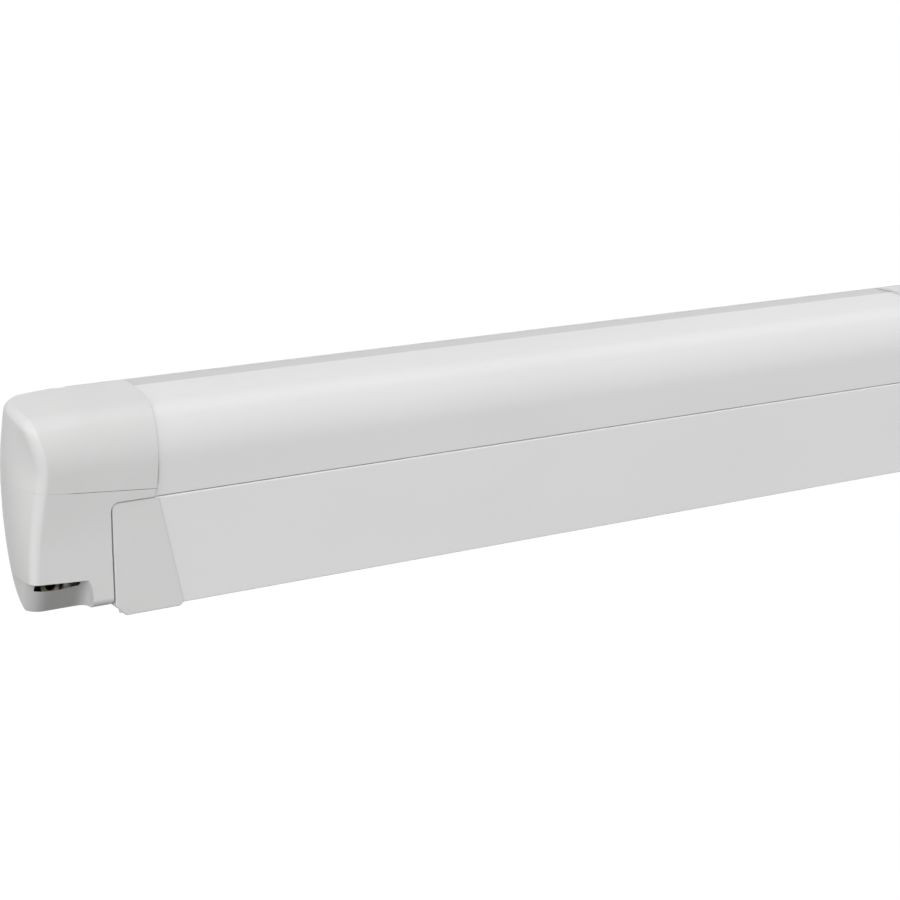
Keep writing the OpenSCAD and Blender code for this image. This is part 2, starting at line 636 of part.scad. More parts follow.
// Outline of an elbow's cheek: from the tube's end to the eye on the axis
function elbow_cheek(y) = let (s = sign(y), w = arm_w / 2 - 1)
    [[-elbow_x - tube_inset, y - s * w], [-elbow_x - tube_inset, y + s * w],
    [-elbow_x - knuckle_back, y + s * w], [-elbow_x + pivot_eye_r * 0.5, s * pivot_eye_r * 0.86],
    [-elbow_x + pivot_eye_r * 0.5, -s * pivot_eye_r * 0.86], [-elbow_x, -s * pivot_eye_r],
    [-elbow_x - pivot_eye_r, -s * pivot_eye_r * 0.1]];
module elbow_plate(y, z0, z1) {
    rod_z(z0, z1, -elbow_x, 0, pivot_eye_r);
    translate([0, 0, z0]) linear_extrude(z1 - z0) polygon(elbow_cheek(y));
}
module elbow_fork() color("silver") arm_frame() difference() {
    union() {
        elbow_root(arm_offset);
        elbow_plate(arm_offset, cheek_in, cheek_out);
        elbow_plate(arm_offset, -cheek_out, -cheek_in);
    }
    rod_z(-arm_h, arm_h, -elbow_x, 0, pivot_pin_r + 0.01);
}
module elbow_tongue() color("silver") arm_frame() difference() {
    union() {
        elbow_root(-arm_offset);
        elbow_plate(-arm_offset, -tongue_t / 2, tongue_t / 2);
    }
    rod_z(-arm_h, arm_h, -elbow_x, 0, pivot_pin_r + run);
}
module pin(x, y) arm_frame() {
    rod_z(-cheek_out - pin_head_t, cheek_out, x, y, pivot_pin_r);
    rod_z(-cheek_out - pin_head_t, -cheek_out, x, y, pivot_pin_r + 2.5);
}
// Spring: one round wire wound inside the upper arm
function spring_point(i, n) = let (a = 360 * spring_turns * i / n)
    [-shoulder_x + tube_inset + spigot_l + spring_wire + spring_l * i / n,
    arm_offset + spring_r * cos(a), spring_r * sin(a)];
function spring_ring(i, n) = let (a = 360 * spring_turns * i / n, p = spring_point(i, n))
    [for (k = [0:4]) let (b = 72 * k) p + spring_wire * [cos(b), sin(b) * cos(a), sin(b) * sin(a)]];
spring_steps = spring_turns * 8;
// Least gap between two turns, measured on points along the wire
spring_gap = min([for (i = [0:spring_steps - 5], j = [i + 5:min(i + 20, spring_steps)])
    norm(spring_point(i, spring_steps) - spring_point(j, spring_steps))]) - 2 * spring_wire;
echo(spring_gap = spring_gap);
module arm_spring() color("silver") arm_frame()
    loft(reversed([for (i = [0:spring_steps]) spring_ring(i, spring_steps)]));

module left_upper_arm() color("white") arm_frame() arm_tube(arm_offset);
module left_shoulder_knuckle() color("silver") arm_frame() in_line_knuckle(arm_offset);
module left_elbow_fork() elbow_fork();
module left_elbow_pin() color("silver") pin(-elbow_x, 0);
module left_arm_spring() arm_spring();
module left_forearm() color("white") arm_frame() arm_tube(-arm_offset);
module left_elbow_tongue() elbow_tongue();
module left_wrist_knuckle() color("silver") arm_frame() in_line_knuckle(-arm_offset);
module right_upper_arm() right() left_upper_arm();
module right_shoulder_knuckle() right() left_shoulder_knuckle();
module right_elbow_fork() right() elbow_fork();
module right_elbow_pin() right() left_elbow_pin();
module right_arm_spring() right() arm_spring();
module right_forearm() right() left_forearm();
module right_elbow_tongue() right() elbow_tongue();
module right_wrist_knuckle() right() left_wrist_knuckle();

// Pivot cheeks carried by a web behind the eye; side is +1 at the back and -1 at the front
module pivot_cheeks(y, side, reach) {
    for (z = [cheek_in, -cheek_out]) {
        rod_z(z, z + cheek_t, -shoulder_x, y, pivot_eye_r);
        block([-shoulder_x - pivot_eye_r, min(y, y + side * reach), z],
            [-shoulder_x + pivot_eye_r, max(y, y + side * reach), z + cheek_t]);
    }
}
module pivot_bores(y) rod_z(-arm_h, arm_h, -shoulder_x, y, pivot_pin_r + 0.01);
module shoulder_brackets() color("silver") both() difference() {
    union() {
        block([-shoulder_x - pivot_base_half, inner_y - pivot_base_t, elbow_z - pivot_drop],
            [-shoulder_x + pivot_base_half, inner_y, elbow_z + pivot_rise[0]]);
        intersection() {
            arm_frame() pivot_cheeks(arm_offset, 1, pivot_reach);
            block([-2 * shoulder_x, -far, -far], [0, inner_y - pivot_base_t / 2, far]);
        }
    }
    arm_frame() pivot_bores(arm_offset);
}
module shoulder_pins() color("silver") both() pin(-shoulder_x, arm_offset);
module wrist_brackets() color("silver") both() difference() {
    union() {
        block([-shoulder_x - pivot_base_half, rail_in_y, lane_top_z + rail_web],
            [-shoulder_x + pivot_base_half, rail_in_y + pivot_base_t, elbow_z + pivot_rise[1]]);
        intersection() {
            arm_frame() pivot_cheeks(-arm_offset, -1, pivot_reach);
            block([-2 * shoulder_x, rail_in_y + pivot_base_t / 2, -far], [0, far, far]);
        }
    }
    arm_frame() pivot_bores(-arm_offset);
}
module wrist_pins() color("silver") both() pin(-shoulder_x, -arm_offset);

// Lead rail: front panel, bead groove and two lanes for the legs
module lead_rail() color("white") difference() {
    along_x(-rail_end, rail_end) difference() {
        union() {
            translate([rail_front_y, rail_bottom_z]) square([rail_wall, rail_h]);
            translate([rail_front_y, rail_top_z - rail_web]) square([bead_y - rail_front_y, rail_web]);
            translate([bead_y, bead_z]) circle(bead_r + bead_wall);
            translate([rail_front_y, lane_top_z]) square([rail_back_y - rail_front_y, rail_web]);
            translate([rail_in_y + lane_w, rail_bottom_z + 3]) square([rail_web, lane_h + rail_web]);
            translate([rail_back_y - rail_web, rail_bottom_z + 3]) square([rail_web, lane_h + rail_web + 6]);
        }
        translate([bead_y, bead_z]) circle(bead_r + 0.1);
        translate([bead_y, bead_z + 0.4]) square([bead_r + bead_wall + 2, bead_slit]);
    }
}
module canopy_bead() color("white") rod_x(-rail_end + 4, rail_end - 4, bead_y, bead_z, bead_r);

// Lead rail caps: an end wall and a front skin with a slanted inner edge
rail_cap_x = -rail_end - rail_cap_end;
rail_cap_z = [rail_bottom_z - rail_cap_lip, rail_top_z + rail_cap_rise];
function rail_cap_skin() = let (top = [rail_cap_x + rail_cap_top_l, rail_cap_z[1]],
        foot = [rail_cap_x + rail_cap_bottom_l, rail_cap_z[0]], corner = [rail_cap_x, rail_cap_z[1]])
    concat(
        [top],
        fillet(top, foot, [rail_cap_x, rail_cap_z[0]], rail_cap_round[1]),
        [[rail_cap_x + rail_cap_chamfer, rail_cap_z[0]], [rail_cap_x, rail_cap_z[0] + rail_cap_chamfer]],
        fillet([rail_cap_x, rail_cap_z[0]], corner, top, rail_cap_round[0]));
module rail_cap_front(y0, y1) translate([0, y1, 0]) rotate([90, 0, 0]) linear_extrude(y1 - y0)
    polygon(rail_cap_skin());
module lead_cap() color("white") difference() {
    rail_cap_front(rail_front_y - rail_cap_proud, rail_back_y);
    // Room for the rail and what it carries
    block([-rail_end, rail_front_y - 0.1, rail_bottom_z - 0.1], [0, far, far]);
    block([-rail_end, rail_in_y, -far], [0, far, far]);
}
module left_lead_cap() lead_cap();
module right_lead_cap() right() lead_cap();

// Support legs: the left one lies in the front lane, the right one in the rear lane
module leg_bracket(y) difference() {
    block([-leg_pin_x - leg_bracket_l / 2, y - lane_w / 2, leg_z - leg_bracket_drop],
        [-leg_pin_x + leg_bracket_l / 2, y + lane_w / 2, lane_top_z]);
    block([-leg_pin_x - leg_bracket_l, y - lane_w / 2 + leg_bracket_t, leg_z - far],
        [-leg_pin_x + leg_bracket_l, y + lane_w / 2 - leg_bracket_t, lane_top_z - leg_bracket_t]);
    rod_y(y - lane_w, y + lane_w, -leg_pin_x, leg_z, leg_pin_r + 0.01);
}
module leg_brackets() color("silver") {
    leg_bracket(lane_mid_y[0]);
    right() leg_bracket(lane_mid_y[1]);
}
module leg_pin(y) rod_y(y - lane_w / 2, y + lane_w / 2, -leg_pin_x, leg_z, leg_pin_r);
module leg_pins() color("silver") {
    leg_pin(lane_mid_y[0]);
    right() leg_pin(lane_mid_y[1]);
}
module leg_tube(y) color("white") tube_x(-leg_pin_x + leg_start, -leg_pin_x + leg_start + leg_l, y, leg_z,
    leg_w, leg_h, leg_wall, 2.5);
module leg_knuckle(y) color("dimgray") difference() {
    union() {
        rod_y(y - leg_w / 2, y + leg_w / 2, -leg_pin_x, leg_z, leg_eye_r);
        block([-leg_pin_x, y - leg_w / 2, leg_z - leg_eye_r * 0.7],
            [-leg_pin_x + leg_start, y + leg_w / 2, leg_z + leg_eye_r * 0.7]);
        bar_x(-leg_pin_x + leg_start, -leg_pin_x + leg_start + inner_back - 2, y, leg_z,
            leg_w - 2 * leg_wall - 0.2, leg_h - 2 * leg_wall - 0.2, 1);
    }
    rod_y(y - lane_w, y + lane_w, -leg_pin_x, leg_z, leg_pin_r + run);
}
module leg_collar(y) color("dimgray") {
    stop = -leg_pin_x + leg_start + leg_l;
    tube_x(stop - collar_l, stop, y, leg_z, leg_w + 2 * collar_w, leg_h + 2 * collar_w, collar_w - 0.05, 3);
}
module leg_inner(y) color("silver") tube_x(-leg_pin_x + leg_start + inner_back,
    -leg_pin_x + leg_start + leg_l + leg_stub, y, leg_z, inner_w, inner_h, 1.3, 1.5);
module foot(y) color("dimgray") bar_x(-leg_pin_x + leg_start + leg_l + leg_stub,
    -leg_pin_x + leg_start + leg_l + leg_stub + foot_l, y, leg_z, leg_w + 2, leg_h + 2, 4);
module left_leg_tube() leg_tube(lane_mid_y[0]);
module left_leg_knuckle() leg_knuckle(lane_mid_y[0]);
module left_leg_collar() leg_collar(lane_mid_y[0]);
module left_leg_inner() leg_inner(lane_mid_y[0]);
module left_foot() foot(lane_mid_y[0]);
module right_leg_tube() right() leg_tube(lane_mid_y[1]);
module right_leg_knuckle() right() leg_knuckle(lane_mid_y[1]);
module right_leg_collar() right() leg_collar(lane_mid_y[1]);
module right_leg_inner() right() leg_inner(lane_mid_y[1]);
module right_foot() right() foot(lane_mid_y[1]);

// Wall brackets hook into the rail on the back of the housing and are locked by a screw from below
module wall_brackets() color("silver") both() translate([-bracket_span / 2, 0, 0]) difference() {
    union() {
        block([-bracket_w / 2, -bracket_t + fit, ledge_z - shelf_t], [bracket_w / 2, 0, tongue_z]);
        block([-bracket_w / 2, back_y, tongue_z - shelf_t], [bracket_w / 2, 0, tongue_z]);
        block([-bracket_w / 2, back_y, tongue_z - shelf_t],
            [bracket_w / 2, back_y + bracket_t - fit, hook_z]);
        block([-bracket_w / 2, back_y, ledge_z - shelf_t], [bracket_w / 2, 0, ledge_z]);
    }
    for (z = [-1, 1] * bolt_span / 2) rod_y(-back_gap, 1, 0, z, bolt_r);
    rod_z(ledge_z - shelf_t - 1, ledge_z + 1, 0, lock_y, screw_hole_r);
}
module bracket_screws() both()
    screw_z(-bracket_span / 2, lock_y, ledge_z - shelf_t, shelf_t + hook_t + 1, lock_head_r);

housing_profile();
rear_seal();
left_upper_cap();
left_lower_cap();
right_upper_cap();
right_lower_cap();
cap_screws();
left_end_plate();
right_end_plate();
plate_screws();
roller_bushes();
gearbox_case();
gearbox_cover();
shoulder_brackets();
shoulder_pins();
wall_brackets();
bracket_screws();
roller_tube();
drive_plug();
idle_plug();
worm_wheel();
canopy_roll();
worm_shaft();
winch_eye();
left_upper_arm();
left_shoulder_knuckle();
left_elbow_fork();
left_elbow_pin();
left_arm_spring();
left_forearm();
left_elbow_tongue();
left_wrist_knuckle();
right_upper_arm();
right_shoulder_knuckle();
right_elbow_fork();
right_elbow_pin();
right_arm_spring();
right_forearm();
right_elbow_tongue();
right_wrist_knuckle();
lead_rail();
left_lead_cap();
right_lead_cap();
wrist_brackets();
wrist_pins();
canopy_bead();
leg_brackets();
leg_pins();
left_leg_tube();
left_leg_knuckle();
left_leg_collar();
left_leg_inner();
left_foot();
right_leg_tube();
right_leg_knuckle();
right_leg_collar();
right_leg_inner();
right_foot();
canopy_stretch();
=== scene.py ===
"""Looks of a roll out awning for a caravan wall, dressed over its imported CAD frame."""
import json
import logging
import math
from dataclasses import dataclass
from enum import Enum
from typing import Sequence

import bmesh
import bpy
import numpy as np
from mathutils import Matrix, Vector


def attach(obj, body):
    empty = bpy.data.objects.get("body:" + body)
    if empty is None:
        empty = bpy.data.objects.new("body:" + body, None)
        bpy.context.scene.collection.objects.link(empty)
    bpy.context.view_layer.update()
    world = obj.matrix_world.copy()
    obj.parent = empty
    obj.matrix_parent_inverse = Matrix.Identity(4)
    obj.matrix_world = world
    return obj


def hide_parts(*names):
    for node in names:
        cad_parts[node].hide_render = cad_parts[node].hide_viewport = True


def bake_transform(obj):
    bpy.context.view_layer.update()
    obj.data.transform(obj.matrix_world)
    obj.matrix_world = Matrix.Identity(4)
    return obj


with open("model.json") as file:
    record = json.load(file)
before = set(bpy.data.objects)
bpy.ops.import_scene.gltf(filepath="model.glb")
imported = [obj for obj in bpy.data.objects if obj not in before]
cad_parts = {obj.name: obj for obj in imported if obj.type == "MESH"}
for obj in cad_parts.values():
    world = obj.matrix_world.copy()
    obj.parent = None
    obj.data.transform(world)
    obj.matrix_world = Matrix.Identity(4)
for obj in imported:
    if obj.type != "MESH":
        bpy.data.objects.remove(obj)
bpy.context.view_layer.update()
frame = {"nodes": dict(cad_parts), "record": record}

LOG = logging.getLogger("awning")
MM = 0.001
Point = tuple[float, float]
Colour = tuple[float, float, float]


class Side(Enum):
    """End of the case: the winch is at the left one."""

    LEFT = -1
    RIGHT = 1

    @property
    def word(self) -> str:
        """Prefix of the CAD nodes at this end."""
        return self.name.lower()


class Solid(Enum):
    """What a second solid does to the first."""

    CUT = "DIFFERENCE"
    JOIN = "UNION"
    KEEP = "INTERSECT"


def put_in_scene(name: str, data: bpy.types.ID) -> bpy.types.Object:
    """Makes an object and links it to the scene.

    Args:
        name: name of the object.
        data: its mesh, lamp or camera.

    Returns:
        The object.
    """
    made = bpy.data.objects.new(name, data)
    bpy.context.scene.collection.objects.link(made)
    return made


class Value:
    """A number socket of a shader that Python arithmetic can use."""

    def __init__(self, kit: "NodeKit", socket: bpy.types.NodeSocket) -> None:
        """Wraps an output socket of a tree."""
        self.kit = kit
        self.socket = socket

    def __add__(self, other: "Value | float") -> "Value":
        """Sum."""
        return self.kit.math("ADD", self, other)

    __radd__ = __add__

    def __sub__(self, other: "Value | float") -> "Value":
        """Difference."""
        return self.kit.math("SUBTRACT", self, other)

    def __rsub__(self, other: float) -> "Value":
        """Difference from a number."""
        return self.kit.math("SUBTRACT", other, self)

    def __mul__(self, other: "Value | float") -> "Value":
        """Product."""
        return self.kit.math("MULTIPLY", self, other)

    __rmul__ = __mul__

    def __truediv__(self, other: "Value | float") -> "Value":
        """Quotient."""
        return self.kit.math("DIVIDE", self, other)

    def __rtruediv__(self, other: float) -> "Value":
        """Quotient of a number by this."""
        return self.kit.math("DIVIDE", other, self)

    def __gt__(self, other: "Value | float") -> "Value":
        """One where this is the larger, else zero."""
        return self.kit.math("GREATER_THAN", self, other)

    def sine(self) -> "Value":
        """Sine of this value in radians."""
        return self.kit.math("SINE", self)

    def fade(self, low: float, high: float) -> "Value":
        """Smooth step from 0 at low to 1 at high.

        Args:
            low: value that gives 0.
            high: value that gives 1.

        Returns:
            The stepped value.
        """
        step = self.kit.node(
            "ShaderNodeMapRange",
            {"interpolation_type": "SMOOTHSTEP"},
            {"Value": self, "From Min": low, "From Max": high},
        )
        return Value(self.kit, step.outputs["Result"])


class NodeKit:
    """A node tree and the only place where its nodes are made."""

    def __init__(self, tree: bpy.types.NodeTree) -> None:
        """Starts with the emptied tree of a material, a world or a geometry modifier."""
        self.tree = tree
        self.tree.nodes.clear()

    def node(self, kind: str, settings: dict | None = None, inputs: dict | None = None) -> bpy.types.Node:
        """Makes any node.

        Args:
            kind: the node's type.
            settings: attributes, set first; stops holds a colour ramp's positions and colours.
            inputs: values or links by socket name or index.

        Returns:
            The node.
        """
        node = self.tree.nodes.new(kind)
        for key, value in (settings or {}).items():
            if key == "stops":
                ramp = node.color_ramp
                while len(ramp.elements) < len(value):
                    ramp.elements.new(0.5)
                for element, (place, colour) in zip(ramp.elements, value):
                    element.position = place
                    element.color = (*colour, 1.0)
            else:
                setattr(node, key, value)
        for key, value in (inputs or {}).items():
            self.feed(node.inputs[key], value)
        return node

    def feed(self, socket: bpy.types.NodeSocket, value: object) -> None:
        """Links a socket, or sets its own value.

        Args:
            socket: input socket.
            value: wrapped value, output socket, number, colour or vector.
        """
        if isinstance(value, Value):
            self.tree.links.new(value.socket, socket)
        elif isinstance(value, bpy.types.NodeSocket):
            self.tree.links.new(value, socket)
        elif isinstance(value, (tuple, list)) and socket.type == "RGBA":
            socket.default_value = (*value, 1.0)
        else:
            socket.default_value = value

    def math(self, operation: str, *terms: Value | float) -> Value:
        """Result of a Math node's operation on one or two values or numbers."""
        node = self.node("ShaderNodeMath", {"operation": operation}, dict(enumerate(terms)))
        return Value(self, node.outputs[0])


class ShaderKit(NodeKit):
    """One material on a Principled shader."""

    def __init__(self, name: str) -> None:
        """Starts the material.

        Args:
            name: name of the material.
        """
        self.material = bpy.data.materials.new(name)
        self.material.use_nodes = True
        super().__init__(self.material.node_tree)
        self.shader = self.node("ShaderNodeBsdfPrincipled")
        self.output = self.node("ShaderNodeOutputMaterial", {}, {"Surface": self.shader.outputs["BSDF"]})

    def place(self, scale: Sequence[float] = (1, 1, 1), turn: Sequence[float] = (0, 0, 0),
              source: str = "Object") -> bpy.types.NodeSocket:
        """Coordinates of the surface.

        Args:
            scale: factor on each axis.
            turn: turn about each axis in radians.
            source: Object or UV.

        Returns:
            The vector socket.
        """
        spot = self.node("ShaderNodeTexCoord").outputs[source]
        mapping = self.node("ShaderNodeMapping", {}, {"Vector": spot, "Scale": scale, "Rotation": turn})
        return mapping.outputs["Vector"]

    def axis(self, letter: str, source: str = "Object") -> Value:
        """The X, Y or Z of the surface in metres, by its Object or UV coordinates."""
        split = self.node("ShaderNodeSeparateXYZ", {}, {0: self.place(source=source)})
        return Value(self, split.outputs[letter])

    def noise(self, scale: float, stretch: Sequence[float] = (1, 1, 1), detail: float = 3.0,
              source: str = "Object") -> Value:
        """Smooth noise.

        Args:
            scale: waves in a metre.
            stretch: factor on each axis.
            detail: octaves.
            source: Object or UV.

        Returns:
            Noise from 0 to 1.
        """
        node = self.node(
            "ShaderNodeTexNoise", {"noise_dimensions": "3D"},
            {"Vector": self.place(stretch, source=source), "Scale": scale, "Detail": detail},
        )
        return Value(self, node.outputs[0])

    def tint(self, share: Value, low: Colour | bpy.types.NodeSocket, high: Colour) -> bpy.types.NodeSocket:
        """Colour between low, where the share is 0, and high, where it is 1."""
        node = self.node("ShaderNodeMix", {"data_type": "RGBA"}, {0: share, 6: low, 7: high})
        return node.outputs[2]

    def bump(self, height: Value, strength: float, depth: float,
             under: bpy.types.NodeSocket | None = None) -> bpy.types.NodeSocket:
        """Normal that follows a height.

        Args:
            height: height from 0 to 1.
            strength: how much of it shows.
            depth: real depth in metres.
            under: normal to start from.

        Returns:
            The normal socket.
        """
        inputs = {"Height": height, "Strength": strength, "Distance": depth}
        if under is not None:
            inputs["Normal"] = under
        return self.node("ShaderNodeBump", {}, inputs).outputs["Normal"]

    def soft_edges(self, radius: float) -> bpy.types.NodeSocket:
        """Normal that rounds hard edges by a radius in metres."""
        return self.node("ShaderNodeBevel", {"samples": 6}, {"Radius": radius}).outputs["Normal"]

    def dress(self, **sockets: object) -> bpy.types.Material:
        """Sets sockets of the shader, by name with _ for a space.

        Args:
            sockets: values or links.

        Returns:
            The material.
        """
        for key, value in sockets.items():
            self.feed(self.shader.inputs[key.replace("_", " ")], value)
        return self.material


class GraphKit(NodeKit):
    """A geometry graph that makes one repeated or swept piece, with named number inputs."""

    def __init__(self, name: str) -> None:
        """Starts the graph.

        Args:
            name: name of its node group.
        """
        super().__init__(bpy.data.node_groups.new(name, "GeometryNodeTree"))
        for way in ("INPUT", "OUTPUT"):
            self.tree.interface.new_socket("Geometry", in_out=way, socket_type="NodeSocketGeometry")
        self.entry = self.node("NodeGroupInput")
        self.values: dict[str, float] = {}

    def number(self, name: str, value: float) -> Value:
        """Adds a named input, whole for a whole number.

        Args:
            name: name of the input.
            value: what it is set to.

        Returns:
            The input inside the graph.
        """
        kind = "NodeSocketInt" if isinstance(value, int) else "NodeSocketFloat"
        self.tree.interface.new_socket(name, in_out="INPUT", socket_type=kind)
        self.values[name] = value
        return Value(self, self.entry.outputs[name])

    def vector(self, x: Value | float, y: Value | float, z: Value | float) -> bpy.types.NodeSocket:
        """Vector of three values."""
        return self.node("ShaderNodeCombineXYZ", {}, {0: x, 1: y, 2: z}).outputs[0]

    def moved(self, shape: bpy.types.NodeSocket, shift: object,
              turn: Sequence[float] = (0, 0, 0)) -> bpy.types.NodeSocket:
        """Geometry turned and then shifted.

        Args:
            shape: the geometry.
            shift: vector or socket in metres.
            turn: turn about each axis in degrees.

        Returns:
            The moved geometry.
        """
        turn = tuple(math.radians(angle) for angle in turn)
        step = self.node(
            "GeometryNodeTransform", {}, {"Geometry": shape, "Translation": shift, "Rotation": turn})
        return step.outputs["Geometry"]

    def swept(self, path: bpy.types.NodeSocket, profile: bpy.types.NodeSocket) -> bpy.types.NodeSocket:
        """Closed skin of a profile that follows a path."""
        step = self.node("GeometryNodeCurveToMesh", {}, {0: path, 1: profile, "Fill Caps": True})
        return step.outputs["Mesh"]

    def make(self, name: str, shape: bpy.types.NodeSocket, finish: bpy.types.Material,
             base: bpy.types.Mesh | None = None) -> bpy.types.Object:
        """Ends the graph and turns what it makes into a plain mesh object.

        Args:
            name: name of the object.
            shape: geometry that the graph ends in.
            finish: its material.
            base: mesh that the graph starts from.

        Returns:
            The object.
        """
        solid = self.node("GeometryNodeRealizeInstances", {}, {"Geometry": shape})
        ready = self.node("GeometryNodeSetMaterial", {}, {"Geometry": solid.outputs[0], "Material": finish})
        self.node("NodeGroupOutput", {}, {0: ready.outputs[0]})
        made = put_in_scene(name, base or bpy.data.meshes.new(name))
        step = made.modifiers.new("graph", "NODES")
        step.node_group = self.tree
        for item in self.tree.interface.items_tree:
            if item.in_out == "INPUT" and item.name in self.values:
                step[item.identifier] = self.values[item.name]
        Bench.settle(made)
        return made


@dataclass(frozen=True)
class PowderCoat:
    """White powder coat on an extrusion: a faint orange peel, a soft sheen, and painted shade on the flat top
    band where band_edge is given.
    """

    colour: Colour = (0.805, 0.805, 0.805)
    shade: Colour = (0.785, 0.785, 0.79)
    # Painted shade: darker colour of the flat top band behind the hood's crease.
    band: Colour = (0.60, 0.60, 0.605)
    roughness: float = 0.42
    band_edge: tuple[float, float] | None = None

    def build(self, name: str) -> bpy.types.Material:
        """Makes the material; band_edge is the Y and Z beyond which the flat top band is drawn darker as
        painted shade.

        Args:
            name: its name.

        Returns:
            The material.
        """
        kit = ShaderKit(name)
        cloud = kit.noise(9.0, (0.4, 1, 1), 2.0)
        base = kit.tint(cloud.fade(0.3, 0.7), self.shade, self.colour)
        if self.band_edge:
            back = kit.axis("Y").fade(self.band_edge[0], self.band_edge[0] + 0.0012)
            top = kit.axis("Z") > self.band_edge[1]
            # Painted shade: the flat top band drawn darker than the hood.
            base = kit.tint(back * top, base, self.band)
        peel = kit.noise(650.0, (0.55, 1, 1), 2.0)
        return kit.dress(
            Base_Color=base,
            Roughness=self.roughness + (kit.noise(40.0) - 0.5) * 0.08,
            Normal=kit.bump(peel, 0.06, 0.0004, kit.soft_edges(0.0006)),
            Coat_Weight=0.12,
            Coat_Roughness=0.25,
        )


@dataclass(frozen=True)
class CrankWear:
    """Painted shade on the winch cap, in metres: the crank recess and the floor below the worm drawn darker
    where shade falls.
    """

    # Painted shade: dark grey laid over the crank recess, below its sloping ceiling.
    colour: Colour = (0.40, 0.40, 0.395)
    outer_x: tuple[float, float] = (-0.548, -0.526)
    inner_x: tuple[float, float] = (-0.509, -0.491)
    front_y: float = -0.0863
    top: Point = (-0.494, -0.0689)
    tilt: float = 0.065
    # Painted shade: near black laid on the cap's floor below the worm, inside the cap.
    grease: Colour = (0.10, 0.09, 0.07)
    grease_x: float = -0.530
    grease_y: float = -0.068
    grease_z: tuple[float, float] = (-0.0938, -0.078)

    def stain(self, kit: ShaderKit, base: bpy.types.NodeSocket) -> bpy.types.NodeSocket:
        """Lays the painted shade over a colour.

        Args:
            kit: the material.
            base: colour beneath.

        Returns:
            The colour socket.
        """
        along, depth, height = (kit.axis(letter) for letter in "XYZ")
        across = along.fade(*self.outer_x) * (1 - along.fade(*self.inner_x))
        below = self.top[1] - height - (along - self.top[0]) * self.tilt
        # Painted shade: the crank recess drawn dark grey.
        base = kit.tint(across * ((depth > self.front_y) * (below > 0.0)), base, self.colour)
        floor = (along > self.grease_x) * (depth > self.grease_y) * (height > self.grease_z[0])
        # Painted shade: the floor below the worm drawn near black.
        return kit.tint(floor * ((self.grease_z[1] - height) > 0.0), base, self.grease)


@dataclass(frozen=True)
class MouldedPlastic:
    """Moulded plastic: even colour with a fine spark-eroded grain, and painted shade where given."""

    colour: Colour = (0.73, 0.73, 0.727)
    shade: Colour = (0.71, 0.71, 0.705)
    roughness: float = 0.40
    grain: float = 0.05
    edge: float = 0.0006
    # Painted shade laid over the colour, if any.
    wear: CrankWear | None = None

    def build(self, name: str) -> bpy.types.Material:
        """Makes the material.

        Args:
            name: its name.

        Returns:
            The material.
        """
        kit = ShaderKit(name)
        cloud = kit.noise(14.0, detail=2.0)
        grain = kit.noise(1400.0, detail=2.0)
        base = kit.tint(cloud.fade(0.3, 0.7), self.shade, self.colour)
        # Painted shade, where given: darker crank recess and cap floor.
        if self.wear:
            base = self.wear.stain(kit, base)
        return kit.dress(
            Base_Color=base,
            Roughness=self.roughness + (kit.noise(60.0) - 0.5) * 0.1,
            Normal=kit.bump(grain, self.grain, 0.0003, kit.soft_edges(self.edge)),
            Specular_IOR_Level=0.45,
        )


@dataclass(frozen=True)
class CastMetal:
    """Die-cast metal with a pebbled skin and rubbed edges."""

    colour: Colour = (0.66, 0.66, 0.67)
    shade: Colour = (0.58, 0.58, 0.595)
    roughness: float = 0.48

    def build(self, name: str) -> bpy.types.Material:
        """Makes the material.

        Args:
            name: its name.

        Returns:
            The material.
        """
        kit = ShaderKit(name)
        cloud = kit.noise(140.0, detail=4.0)
        pebble = kit.noise(900.0, detail=2.0)
        return kit.dress(
            Base_Color=kit.tint(cloud.fade(0.2, 0.8), self.shade, self.colour),
            Metallic=0.9,
            Roughness=self.roughness + (cloud - 0.5) * 0.15,
            Normal=kit.bump(pebble, 0.12, 0.0004, kit.soft_edges(0.0006)),
        )


@dataclass(frozen=True)
class DrawnMetal:
    """Metal with the fine lines of drawing or extruding along one axis."""

    colour: Colour = (0.74, 0.74, 0.75)
    shade: Colour = (0.60, 0.60, 0.62)
    roughness: float = 0.32
    stretch: tuple[float, float, float] = (0.02, 1, 1)

    def build(self, name: str) -> bpy.types.Material:
        """Makes the material.

        Args:
            name: its name.

        Returns:
            The material.
        """
        kit = ShaderKit(name)
        lines = kit.noise(1500.0, self.stretch, 3.0)
        cloud = kit.noise(30.0, detail=3.0)
        return kit.dress(
            Base_Color=kit.tint(lines.fade(0.2, 0.8), self.shade, self.colour),
            Metallic=1.0,
            Roughness=self.roughness + (lines - 0.5) * 0.15 + (cloud - 0.5) * 0.1,
            Normal=kit.bump(lines, 0.06, 0.0002, kit.soft_edges(0.0004)),
        )


@dataclass(frozen=True)
class SoftRubber:
    """Matt rubber with a dusty bloom."""

    colour: Colour = (0.70, 0.70, 0.70)
    bloom: Colour = (0.62, 0.62, 0.62)
    roughness: float = 0.75

    def build(self, name: str) -> bpy.types.Material:
        """Makes the material.

        Args:
            name: its name.

        Returns:
            The material.
        """
        kit = ShaderKit(name)
        dust = kit.noise(120.0, detail=4.0)
        return kit.dress(
            Base_Color=kit.tint(dust.fade(0.35, 0.75), self.colour, self.bloom),
            Roughness=self.roughness + (dust - 0.5) * 0.2,
            Normal=kit.bump(kit.noise(1800.0), 0.08, 0.0003, kit.soft_edges(0.0005)),
        )


